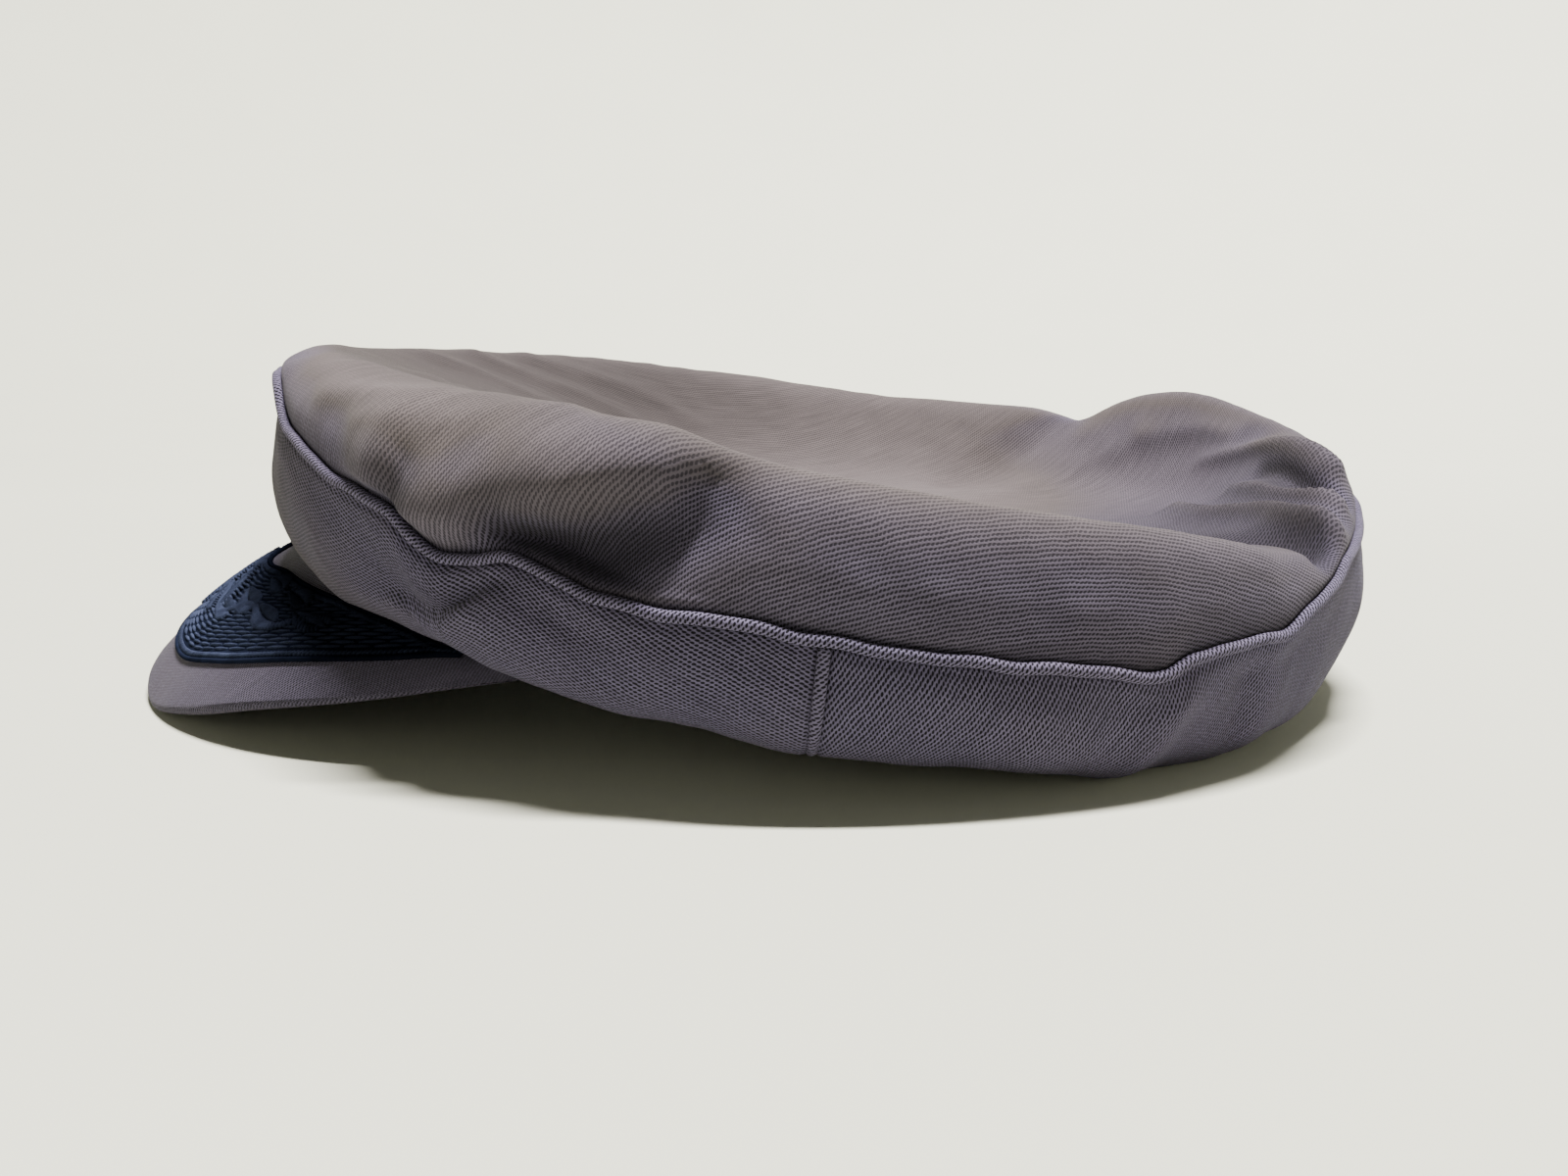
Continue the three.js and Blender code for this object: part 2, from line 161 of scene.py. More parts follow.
def gridNormals(points, closed):  # outward normals of a grid that runs around, then downwards
    around = aheadOf(points[:-1] if closed else points, closed)
    if closed:
        around = np.concatenate([around, around[:1]])
    return unit(np.cross(np.gradient(points, axis=1), around))


def softened(values, ends):  # spreads each row's values to the rows beside it
    wide = np.pad(values, ((1, 1),) + ((0, 0),) * (values.ndim - 1), mode=ends)
    return (wide[:-2] + 2 * wide[1:-1] + wide[2:]) / 4


def blurred(values, times, closed):
    for _ in range(times):
        values = softened(values.swapaxes(0, 1), "edge").swapaxes(0, 1)
        if closed:
            ring = softened(values[:-1], "wrap")
            values = np.concatenate([ring, ring[:1]])
        else:
            values = softened(values, "edge")
    return values


def ripples(flat, rows, waves=14):  # soft unevenness of a laid cloth, by rows of height, seed and wavelength
    total = np.zeros(flat.shape[:-1])
    for height, seed, wavelength in rows:
        dice = np.random.default_rng(seed)
        for _ in range(waves):
            turn, phase = dice.uniform(0, 2 * np.pi, 2)
            length = wavelength * dice.uniform(0.7, 1.6)
            across = flat[..., 0] * math.cos(turn) + flat[..., 1] * math.sin(turn)
            total += height / math.sqrt(waves) * np.sin(across * 2 * np.pi / length + phase)
    return total


def threadPlaces(flat, waleAngle):  # u goes across the wales and v along them, in metres
    a = math.radians(waleAngle)
    across = flat[..., 1] * math.cos(a) - flat[..., 0] * math.sin(a)
    along = flat[..., 0] * math.cos(a) + flat[..., 1] * math.sin(a)
    return np.stack([across, along], axis=-1) * mm


def clothGrid(name, points, thread, material, wear=0.0, darkeningAndShade=0.0, awayFrom=None):
    # a grid primitive, each of its corners moved to its place in the row's frame
    columns, rows = points.shape[0] - 1, points.shape[1] - 1
    deselectAll()
    bpy.ops.mesh.primitive_grid_add(x_subdivisions=columns, y_subdivisions=rows, size=2)
    piece = bpy.context.object
    piece.name = piece.data.name = name
    mesh = piece.data
    flatPlace = np.empty(len(mesh.vertices) * 3)
    mesh.vertices.foreach_get("co", flatPlace)
    flatPlace = flatPlace.reshape(-1, 3)
    i = np.rint((flatPlace[:, 0] + 1) / 2 * columns).astype(int)
    j = np.rint((flatPlace[:, 1] + 1) / 2 * rows).astype(int)
    mesh.vertices.foreach_set("co", (points[i, j] * mm + crownMiddle).ravel())
    corner = np.empty(len(mesh.loops), int)
    mesh.loops.foreach_get("vertex_index", corner)
    mesh.uv_layers[0].name = "thread"
    mesh.uv_layers[0].data.foreach_set("uv", thread[i[corner], j[corner]].ravel())
    for title, values in (("wear", wear), ("darkeningAndShade", darkeningAndShade)):
        layer = mesh.attributes.new(title, "FLOAT", "POINT")
        layer.data.foreach_set("value", np.broadcast_to(values, points.shape[:2])[i, j])
    bpy.ops.object.mode_set(mode="EDIT")
    bpy.ops.mesh.select_all(action="SELECT")
    bpy.ops.mesh.remove_doubles(threshold=0.00001)  # closes the ring and the pole
    bpy.ops.mesh.normals_make_consistent(inside=False)
    bpy.ops.object.mode_set(mode="OBJECT")
    if awayFrom is not None:  # an open sheet has no inside of its own
        middle = Vector(np.asarray(awayFrom) * mm + crownMiddle)
        facing = sum(face.normal.dot(face.center - middle) * face.area for face in mesh.polygons)
        if facing < 0:
            bpy.ops.object.mode_set(mode="EDIT")
            bpy.ops.mesh.flip_normals()
            bpy.ops.object.mode_set(mode="OBJECT")
    bpy.ops.object.shade_smooth()
    mesh.materials.append(material)
    return piece


def sweep(line, up, profile, closed):  # a grid of points: a closed profile (side, up) carried along a line
    ahead = unit(aheadOf(line, closed))
    side = unit(np.cross(ahead, up))
    top = np.cross(side, ahead)
    profile = np.asarray(profile, float)
    points = line[:, None] + side[:, None] * profile[:, :1] + top[:, None] * profile[:, 1:]
    points = np.concatenate([points, points[:, :1]], axis=1)
    return np.concatenate([points, points[:1]]) if closed else points


def runLength(line):
    step = np.linalg.norm(np.diff(line, axis=0), axis=-1)
    return np.concatenate([[0], np.cumsum(step)])


def sweptThread(points, slant):  # thread places on a swept piece, slanted as on a bias-cut strip
    along = runLength(points.mean(axis=1))[:, None] + np.zeros(points.shape[1])
    around = runLength(points[len(points) // 2])[None, :] + np.zeros((points.shape[0], 1))
    return threadPlaces(np.stack([along, around], axis=-1), slant)


def closedEnds(points):  # narrows both ends of a swept piece to a point
    middle = points[:, :-1].mean(axis=1, keepdims=True)
    points = points.copy()
    points[0] = middle[0]
    points[-1] = middle[-1]
    return points


# Materials

twillLook = {
    "waleMm": 0.82,  # from one diagonal wale to the next
    "threadMm": 0.69,  # from one float to the next along a wale
    "threadTurn": 52,  # degrees between the wales and the crossing threads
    "waleBend": 1.4,  # how crooked the wales and the crossing threads are
    "threadBend": 1.1,
    "wanderMm": 0.9,  # how far the threads stray
    "float": "#5a5367",
    "bluishFloat": "#555169",
    "pit": "#0d0c12",
    "worn": "#4e4849",  # faded
    "palest": "#5c5557",  # palest, where wear passes 1, mostly in the middle of the dish
    "reliefMm": 0.22,
}
satinLook = {
    "strandMm": 0.3,  # the threads of a satin stitch, drawn coarse enough to show
    "ground": ("#0a0c14", "#232a40"),  # base, and the painted glint of the strands
    "raised": ("#131621", "#515a78"),
    "crownShadowOval": (0.121, 0.1385),  # plan of the crown whose painted shadow falls on the trim: half width and half length, in metres
    "crownShadowTone": 0.25,  # tone inside the painted shadow of the crown
    "reliefMm": 0.1,
}
sewingTones = ("#1d1b22", "#45414b")
paintLook = {
    "tones": ("#a8aa9f", "#acaea3"),
    "rear": 1.5,  # painted light: the floor's tone far behind the cap
    "past": 0.5,  # painted shade: the floor's tone far past the camera
}


def calculated(tree, operation, *terms, clamp=False):
    return addNode(tree, "Math", {"operation": operation, "use_clamp": clamp}, dict(enumerate(terms)))


def mixed(tree, share, first, second, blend="MIX"):
    node = addNode(tree, "Mix", {"data_type": "RGBA", "blend_type": blend}, {0: share, 6: first, 7: second})
    return node, 2


def mapped(tree, value, lowest, highest, toLowest, toHighest, kind="LINEAR"):
    ends = {"From Min": lowest, "From Max": highest, "To Min": toLowest, "To Max": toHighest}
    return addNode(tree, "MapRange", {"interpolation_type": kind}, {"Value": value, **ends})


def noise(tree, place, scale, detail=2, roughness=0.5):
    inputs = {"Vector": place, "Scale": scale, "Detail": detail, "Roughness": roughness}
    return addNode(tree, "TexNoise", inputs=inputs), "Fac"


def wave(tree, place, spacingMm, distortion, detailScale=1.0):
    inputs = {"Vector": place, "Scale": 0.31416 / (spacingMm * mm), "Distortion": distortion}
    return addNode(tree, "TexWave", inputs={**inputs, "Detail Scale": detailScale}), "Fac"


def reliefOf(tree, height, strength, reliefMm):
    return addNode(tree, "Bump", inputs={"Strength": strength, "Distance": reliefMm * mm, "Height": height})


def finishMaterial(material, inputs):
    shader = addNode(material.node_tree, "BsdfPrincipled", inputs=inputs)
    addNode(material.node_tree, "OutputMaterial", inputs={"Surface": shader})
    return material


def cottonTwill():
    # washed cotton twill: raised diagonal floats over dark pits, matt, slightly fuzzy, paler where rubbed
    material, tree = newMaterial("washed cotton twill")
    tones = {name: toLinear(twillLook[name]) for name in ("float", "bluishFloat", "pit", "worn", "palest")}
    stray = twillLook["wanderMm"] * mm
    thread = addNode(tree, "UVMap", {"uv_map": "thread"})
    place = (addNode(tree, "TexCoord"), "Object")
    wear = (addNode(tree, "Attribute", {"attribute_name": "wear"}), "Fac")
    darkeningAndShade = (addNode(tree, "Attribute", {"attribute_name": "darkeningAndShade"}), "Fac")

    wander = (noise(tree, thread, 140)[0], "Color")
    shift = addNode(tree, "VectorMath", {"operation": "MULTIPLY_ADD"},
                    {0: wander, 1: (stray, stray, 0), 2: (-stray / 2, -stray / 2, 0)})
    laid = addNode(tree, "VectorMath", {"operation": "ADD"}, {0: thread, 1: shift})
    turned = (0, 0, math.radians(twillLook["threadTurn"]))
    crossed = addNode(tree, "Mapping", inputs={"Rotation": turned, "Vector": laid})
    wale = wave(tree, laid, twillLook["waleMm"], twillLook["waleBend"], 0.6)
    floats = wave(tree, crossed, twillLook["threadMm"], twillLook["threadBend"], 0.6)
    weave = calculated(tree, "MULTIPLY", calculated(tree, "MULTIPLY_ADD", floats, -0.74, 1.0), wale)
    loose = calculated(tree, "MULTIPLY_ADD", noise(tree, thread, 1500), 0.7, -0.35)  # loose fibres
    spun = calculated(tree, "ADD", weave, loose)
    napped = mapped(tree, wear, -0.5, 1.0, 1.3, 0.5)
    pits = calculated(tree, "MULTIPLY", mapped(tree, spun, 0.1, 0.55, 0.0, 1.0, "SMOOTHSTEP"), napped)

    slub = addNode(tree, "Mapping", inputs={"Scale": (900, 70, 1), "Vector": thread})
    depth = mapped(tree, noise(tree, slub, 1.0), 0.25, 0.75, 0.82, 1.14)  # uneven yarn
    tint = mixed(tree, noise(tree, place, 26, 3, 0.55), tones["float"], tones["bluishFloat"])
    faded = mixed(tree, wear, tint, tones["worn"])
    pale = mixed(tree, calculated(tree, "SUBTRACT", wear, 1.0, clamp=True), faded, tones["palest"])
    # darkening: the cloth's own tone, with painted shade in the creases, along the seam and on the shaded
    # sides
    tone = calculated(tree, "MULTIPLY", depth, mapped(tree, darkeningAndShade, 0.0, 1.0, 1.0, 0.3))
    strands = mixed(tree, 1.0, pale, tone, "MULTIPLY")
    colour = mixed(tree, pits, strands, tones["pit"])

    raised = calculated(tree, "MULTIPLY_ADD", pits, -1.0, 1.0)
    relief = reliefOf(tree, raised, 0.6, twillLook["reliefMm"])
    return finishMaterial(material, {
        "Base Color": colour, "Normal": relief, "Roughness": 0.92, "IOR": 1.45, "Specular IOR Level": 0.12,
        "Sheen Weight": 0.02, "Sheen Roughness": 0.5})


def satinThread(name, base, glint):
    # rayon embroidery thread: deep navy strands with painted glints, and a painted shadow of the crown where
    # it overhangs them
    material, tree = newMaterial(name)
    place = (addNode(tree, "TexCoord"), "Object")
    strands = wave(tree, addNode(tree, "UVMap", {"uv_map": "thread"}), satinLook["strandMm"], 1.5)
    # painted highlights: some strands are coloured lighter as glints, and the specular is off
    glinting = calculated(tree, "MULTIPLY", strands, noise(tree, place, 260), clamp=True)
    colour = mixed(tree, glinting, toLinear(base), toLinear(glint))
    # painted shadow of the crown: the threads are darker inside the crown's plan oval
    away = addNode(tree, "Mapping", {"vector_type": "TEXTURE"},
                   {"Location": tuple(crownMiddle), "Scale": (*satinLook["crownShadowOval"], 1), "Vector": place})
    reach = (addNode(tree, "VectorMath", {"operation": "LENGTH"}, {0: away}), "Value")
    under = mapped(tree, reach, 1.0, 1.1, satinLook["crownShadowTone"], 1.0, "SMOOTHSTEP")
    relief = reliefOf(tree, strands, 0.4, satinLook["reliefMm"])
    return finishMaterial(material, {
        "Base Color": mixed(tree, 1.0, colour, under, "MULTIPLY"), "Normal": relief, "Roughness": 0.5,
        "IOR": 1.5, "Specular IOR Level": 0.0})


def stitchThread():
    # polyester sewing thread: a little darker and glossier than the cloth it holds
    material, tree = newMaterial("grey sewing thread")
    place = (addNode(tree, "TexCoord"), "Object")
    colour = mixed(tree, noise(tree, place, 900), *(toLinear(tone) for tone in sewingTones))
    return finishMaterial(material, {"Base Color": colour, "Roughness": 0.7, "IOR": 1.5})


def paintedTable():
    # matt white painted board, pale and almost even, with painted light making it whiter towards the back and
    # painted shade making it greyer past the camera
    material, tree = newMaterial("matt white paint")
    place = (addNode(tree, "TexCoord"), "Object")
    colour = mixed(tree, noise(tree, place, 6, 4), *(toLinear(tone) for tone in paintLook["tones"]))
    across = (addNode(tree, "SeparateXYZ", inputs={0: place}), "X")
    rear = mapped(tree, across, -2.3, -0.2, paintLook["rear"], 1.0)
    past = mapped(tree, across, 0.25, 1.3, 1.0, paintLook["past"], "SMOOTHSTEP")
    shade = calculated(tree, "MULTIPLY", rear, past)
    return finishMaterial(material, {
        "Base Color": mixed(tree, 1.0, colour, shade, "MULTIPLY"), "Roughness": 0.8, "IOR": 1.45,
        "Specular IOR Level": 0.2})


twill = cottonTwill()
satin = satinThread("navy rayon ground", *satinLook["ground"])
raisedSatin = satinThread("navy rayon stitches", *satinLook["raised"])
sewing = stitchThread()
paint = paintedTable()
print("materials ready")


# The crown: every section runs from the dish over the ridge to the seam, then down the side and under

crown = {
    "halfLength": 138.5,
    "halfWidth": 121.0,
    "wall": 1.4,
    "dishHeight": 43.0,
    "around": 440,
    "topRings": 84,
    "topSamples": 96,  # places between two stops of a section
    "topEdge": 0.4,  # the top panel's edge, from the seam
    "easedMiddle": 34,  # radius of the rounded middle
    "sideColumns": 236,
    "sideRings": 54,
    "sideSamples": 20,
    "sideEdge": 0.8,
    "sideFlatRadius": 128.0,
    "sideSeam": (87.8, 86.0),  # azimuth at the welt and at the bottom fold
    "seamGap": 0.25,  # degrees from the side seam to each panel
    "seamTurnIn": 0.5,
    "topRipples": ((0.3, 3, 46), (0.08, 5, 14)),  # height, seed, wavelength
    "sideRipples": ((0.65, 11, 34), (0.08, 13, 11)),
    "topWale": 113,
    "frontWale": 157,
    "rearWale": 55,
}

# How the cloth has faded and where shade is painted: wear goes from fresh to worn grey at 1 and palest at 2;
# the darkening darkens it, as the cloth's own tone and as painted shade in the creases, along the seam, on
# the near slope and on the side panels
fadingAndPaintedShade = {
    "topWear": 0.15,
    "dishWear": 0.9,
    "dishRear": -0.45,
    "paleMiddle": 0.9,
    "paleAzimuth": 235,  # middle and radius of the palest part of the top
    "paleReach": 45,
    "paleRadius": 48,
    "bowWear": 0.8,  # the front of the top
    "wrinkleAzimuth": 160,  # middle and radius of the wrinkles at the back
    "wrinkleReach": 108,
    "wrinkleRadius": 50,
    "wrinkleWear": -0.6,
    "topDye": 0.05,
    "creasePaintedShade": 0.19,
    "slopePaintedShade": 0.29,
    "dishDye": 0.12,
    "wrinkleDarker": 0.75,
    "dishFrontDarker": 0.55,
    "seamPaintedShade": 0.5,
    "sideWear": -0.35,
    "sideEndsWear": 0.8,
    "sideToneAndShade": 0.2,
    "sideFrontPaintedShade": 0.32,
    "sideFoldPaintedShade": 0.06,
    "crownWelt": -0.2,
    "sideWelt": 0.1,
    "peakWear": 0.25,
    "peakDye": 0.56,
}

# azimuth, floor height, floor share, ridge inset, ridge height, belly inset, hem inset, hem height, tuck rise
crownSections = [
    [0, 66, 0.64, 13, 84, 0.6, 4, 42, 4],
    [20, 63, 0.62, 16.5, 81, 0.8, 5.5, 34.5, 13],
    [40, 56, 0.60, 20, 74.6, 0.9, 9, 27, 13],
    [60, 50, 0.60, 18.5, 68.6, 0.9, 9.5, 19.5, 13],
    [75, 46.5, 0.60, 12, 63.5, 0.9, 9.5, 13.5, 16],
    [90, 44, 0.60, 10.5, 57.5, 1.0, 9.5, 8.5, 18],
    [102, 42.5, 0.60, 10, 53.6, 1.5, 11, 4.4, 19],
    [115, 41, 0.60, 9.5, 49.5, 2.6, 14, 1.2, 20],
    [130, 39, 0.62, 9, 43.9, 4.5, 17.5, -0.6, 20],
    [140, 38.5, 0.64, 11, 41.6, 6, 21, -1, 20],
    [158, 39.5, 0.74, 16, 45.5, 6, 24.5, -1.5, 20],
    [172, 42, 0.80, 17, 57, 4, 24.5, -1.5, 20],
    [188, 43, 0.82, 15, 65, 3, 22, -1.5, 20],
    [205, 44, 0.80, 15, 71.5, 2, 18, -1, 19],
    [224, 45, 0.76, 16, 66, 1, 13, 1, 18],
    [250, 45.5, 0.72, 15, 68.5, 0.5, 11, 5, 18],
    [270, 46.5, 0.72, 14, 73, 0.5, 9.5, 11, 17],
    [300, 52, 0.70, 14, 80.5, 0.5, 9, 20, 13],
    [335, 62, 0.65, 15, 84, 0.5, 5.5, 34, 11],
]

# the seam round the crown: azimuth, height, inset from the oval
seamLine = [
    [0, 77, 4], [12, 77, 3.8], [18, 76.2, 3.4], [21.5, 73.5, 3], [24, 68.5, 2.8], [28, 64.3, 2.5],
    [33.6, 60.2, 2.2], [39.7, 55.4, 2], [45, 52.6, 2], [47.3, 50.5, 2.2], [49.5, 46, 3], [52.8, 42.4, 4.2],
    [55.7, 42.9, 5], [58.3, 43.5, 5], [61.5, 42.6, 4.4], [64.6, 40.6, 3.4], [68.5, 37.8, 2.4],
    [74.3, 35.7, 1.8], [81.3, 34.2, 1.6], [87.8, 31.6, 1.6], [100, 27.6, 1.8], [112.8, 24.2, 2],
    [117.5, 22.6, 2], [121, 25.4, 2.4],
    [127, 26.4, 3], [132, 26.8, 3.2], [138, 30.8, 4.0], [143, 33.8, 5.0], [148, 37.4, 6.2], [153, 39.8, 7.0],
    [159, 41.8, 7.6], [165, 44.8, 7.8], [172, 47.5, 7.8], [188, 50.5, 7.4], [205, 51.5, 6], [224, 50, 4],
    [250, 50, 2.6], [270, 54, 2.2], [300, 64, 2.2], [335, 74.5, 3.4],
]

# folds: the line on the cloth (azimuth, distance from the seam), then the width to its left, the width to its
# right, the height, how pointed it is, and how much of it fades along the line
topCreases = [
    ([(60, 1), (66, 4.5), (71.5, 11), (75.5, 16), (78.5, 21)], 7.5, 7.5, -8.2, 2, 0.7),
    ([(47.3, 0), (48.2, 5), (49, 12)], 4.2, 4.2, -5, 1.7, 0.6),
    ([(144, 3), (146, 10), (147.5, 18), (147, 31), (152, 50)], 6, 6.5, -7, 1.7, 0.5),
    ([(161.5, 8), (164, 13), (167, 18), (171, 23), (176, 29)], 3.2, 2.6, -4.6, 1.6, 0.6),
]
topFolds = [
    ([(49, 6), (57.7, 8), (61.8, 12), (66, 17.5), (73, 25)], 15, 5.5, 6.5, 2, 0.45),
    ([(34, 13), (45, 22), (52, 31)], 5.5, 4, 1.6, 1.5, 0.3),
    ([(42, 13), (50, 22), (57, 27), (62, 30)], 5.5, 4, 1.6, 1.5, 0.3),
    ([(28, 24), (44, 32), (57, 33), (72, 31), (90, 29), (110, 27.5), (120, 25), (130, 20)],
     4.5, 4.5, 0.8, 1.2, 0.2),
    ([(20, 44), (40, 50), (56, 60)], 9, 7, 2.6, 1.8, 0.4),
    ([(8, 40), (20, 58), (38, 80)], 10, 8, 2.2, 1.8, 0.4),
    ([(346, 22), (342, 30), (338, 41), (331, 49), (324, 58)], 4, 4, 1.6, 1.8, 0.6),
    ([(335, 22), (332, 29), (325, 38), (317, 46), (310, 54)], 4, 4, 1.6, 1.8, 0.6),
    ([(324, 24), (316, 32), (305, 40), (296, 50)], 4.5, 4.5, 1.4, 1.8, 0.6),
    ([(149, 5), (150.5, 10), (152, 14), (156, 20), (161, 30), (166, 40), (176, 52)],
     4.2, 4.8, 7.6, 1.35, 0.6),
    ([(157, 6), (159, 11), (161, 16), (163.5, 20.5), (168.5, 28), (175, 36)], 3.5, 4.2, 6.2, 1.35, 0.6),
    ([(167, 10), (171, 15), (178, 21.5), (183, 26.5), (188, 33), (192, 39)], 4.2, 3.5, 4.8, 1.35, 0.6),
    ([(190.5, 28), (196, 32), (199.5, 36), (206, 41)], 4, 4, 1.5, 1.6, 0.6),
    ([(206, 42), (212, 50), (218, 62), (216, 90)], 7, 9, 1.6, 1.6, 0.5),
    ([(217, 4), (226, 35), (236, 66)], 9, 9, -5.5, 2, 0.6),
]
sideFolds = [
    ([(59.5, 1), (54.5, 7), (47, 17)], 2.2, 11, -4.5, 1.7, 0.4),
    ([(121, 2), (118, 14), (116, 24)], 5, 6, 1.6, 2, 0.6),
    ([(128, 3), (129, 12), (130, 22)], 5, 5, -1.6, 2, 0.6),
]

band = {
    "halfLength": 101.0,
    "halfWidth": 85.0,
    "middleY": -30.0,
    "wall": 2.0,
    "tall": 30.0,
    "rounded": 0.5,
    "frontLift": 33.0,
    "restY": 27.0,
    "sewnGap": 0.35,
}


def ovalReach(azimuth):
    d = heading(azimuth)
    return 1 / np.hypot(d[..., 0] / crown["halfWidth"], d[..., 1] / crown["halfLength"])


def bandReach(azimuth, grow):  # from the crown's middle to the outside of the band
    d = heading(azimuth)
    wide, deep, y = band["halfWidth"] + grow, band["halfLength"] + grow, band["middleY"]
    a = (d[..., 0] / wide) ** 2 + (d[..., 1] / deep) ** 2
    b = -2 * d[..., 1] * y / deep**2
    c = (y / deep) ** 2 - 1
    return (-b + np.sqrt(b * b - 4 * a * c)) / (2 * a)


def bandOval(a, out):  # plan places round the band, by angle in radians and distance outside it
    x = (band["halfWidth"] + out) * np.sin(a)
    return x, band["middleY"] - (band["halfLength"] + out) * np.cos(a)


def bandBottom(y):
    front = band["middleY"] - band["halfLength"]
    return np.maximum(0, band["frontLift"] * (band["restY"] - y) / (band["restY"] - front))


def sectionAt(azimuth):
    v = tableAt(crownSections, azimuth, 360)
    seam = tableAt(seamLine, azimuth, 360)
    reach = ovalReach(azimuth)
    return {
        "floor": v[..., 0], "floorShare": v[..., 1], "ridgeR": reach - v[..., 2], "ridgeZ": v[..., 3],
        "seamR": reach - seam[..., 1], "seamZ": seam[..., 0],
        "belly": reach - v[..., 4], "hemR": reach - v[..., 5], "hemZ": v[..., 6], "tuck": v[..., 7],
    }


def stopsOf(*places):  # one line of (reach, height) stops for each section
    return np.stack([np.stack(place, -1) for place in places], axis=-2)


def topStops(azimuth):
    s = sectionAt(azimuth)
    out = s["seamR"] + 0.6 - s["ridgeR"]
    drop = s["ridgeZ"] - s["seamZ"]
    zero = np.zeros_like(azimuth)
    return stopsOf(
        (zero, zero + crown["dishHeight"]),
        (s["floorShare"] * s["ridgeR"], s["floor"]),
        (s["ridgeR"], s["ridgeZ"]),
        (s["ridgeR"] + 0.55 * out, s["ridgeZ"] - 0.13 * drop),
        (s["ridgeR"] + 0.88 * out, s["ridgeZ"] - 0.52 * drop),
        (s["seamR"], s["seamZ"]),
    )


def sideStops(azimuth):
    s = sectionAt(azimuth)
    tall = s["seamZ"] - s["hemZ"]
    sewn = bandReach(azimuth, band["sewnGap"])
    fold = np.minimum(8, 0.4 * (s["hemR"] - sewn))
    return stopsOf(
        (s["seamR"], s["seamZ"]),
        (s["belly"], s["hemZ"] + 0.55 * tall),
        (s["hemR"] + 0.65 * (s["belly"] - s["hemR"]), s["hemZ"] + 0.18 * tall),
        (s["hemR"], s["hemZ"]),
        (s["hemR"] - fold, s["hemZ"] + 0.06 * s["tuck"]),
        (sewn, s["hemZ"] + s["tuck"]),
    )


def meridians(stops, samples):  # a rounded line through the stops of each section, and the run along it
    first = 2 * stops[:, :1] - stops[:, 1:2]
    last = 2 * stops[:, -1:] - stops[:, -2:-1]
    p = np.concatenate([first, stops, last], axis=1)
    gap = np.sqrt(np.maximum(np.linalg.norm(np.diff(p, axis=1), axis=-1), 1e-9))[..., None]
    t = np.linspace(0, 1, samples, endpoint=False)[:, None]
    lines = []
    for k in range(stops.shape[1] - 1):
        a, b, c, d = (p[:, k + n][:, None] for n in range(4))
        g0, g1, g2 = (gap[:, k + n][:, None] for n in range(3))
        leave = ((b - a) / g0 - (c - a) / (g0 + g1) + (c - b) / g1) * g1
        arrive = ((c - b) / g1 - (d - b) / (g1 + g2) + (d - c) / g2) * g1
        lines.append(hermite(t, b, leave, c, arrive))
    line = np.concatenate(lines + [stops[:, -1:]], axis=1)
    step = np.linalg.norm(np.diff(line, axis=1), axis=-1)
    return line, np.concatenate([np.zeros((len(line), 1)), np.cumsum(step, axis=1)], axis=1)


def pointsAlong(azimuth, line, run, distance):  # places at given runs along each section
    def column(n):
        return np.stack([np.interp(d, r, stops[:, n]) for d, r, stops in zip(distance, run, line)])

    reach, height = column(0), column(1)
    plan = heading(azimuth)[:, None] * reach[..., None]
    return np.concatenate([plan, height[..., None]], axis=-1)


def foldHeights(folds, flat, flatPlace):  # how far the folds move each place of a flat cloth outwards
    total = np.zeros(flat.shape[:-1])
    for marks, leftWidth, rightWidth, height, power, fade in folds:
        marks = np.array([flatPlace(*mark) for mark in marks])
        path = meridians(marks[None], 24)[0][0]  # rounded through its marks
        along = np.linspace(0, 1, len(path))
        ahead = unit(np.gradient(path, axis=0))
        away = flat[..., None, :] - path
        distance = np.linalg.norm(away, axis=-1)
        near = np.argmin(distance, axis=-1)
        gap = np.take_along_axis(distance, near[..., None], -1)[..., 0]
        to = np.take_along_axis(away, near[..., None, None], -2)[..., 0, :]
        left = ahead[near][..., 0] * to[..., 1] - ahead[near][..., 1] * to[..., 0]
        blend = 0.5 + 0.5 * np.tanh(left / 1.5)
        width = leftWidth * blend + rightWidth * (1 - blend)
        total += height * (1 - along[near] * fade) * np.exp(-((gap / width) ** power))
    return total


def wearOf(points, closed):  # rubbed where the cloth stands out
    normals = gridNormals(points, closed)
    bulge = blurred(((points - blurred(points, 40, closed)) * normals).sum(-1), 3, closed)
    return np.clip(bulge * 0.4, 0, 0.4)


def easeMiddle(points, reach):  # rounds the middle of the top, where all the sections meet
    out = np.linalg.norm(points[:-1, :, :2] - points[:1, :1, :2], axis=-1).mean(axis=0)
    waves = np.fft.rfft(points[:-1, :, 2], axis=0)
    order = np.clip(np.arange(len(waves)) - 1, 0, 4)[:, None]
    waves *= np.clip(out / reach, 0, 1) ** order
    k = np.searchsorted(out, 0.6 * reach)
    slope = (waves[0, k + 1] - waves[0, k]) / (out[k + 1] - out[k])
    waves[0, :k] = waves[0, k] + slope * (out[:k] ** 2 - out[k] ** 2) / (2 * out[k])
    points[:-1, :, 2] = np.fft.irfft(waves, len(points) - 1, axis=0)
    points[-1] = points[0]
    points[:, 0] = points[:, 0].mean(axis=0)


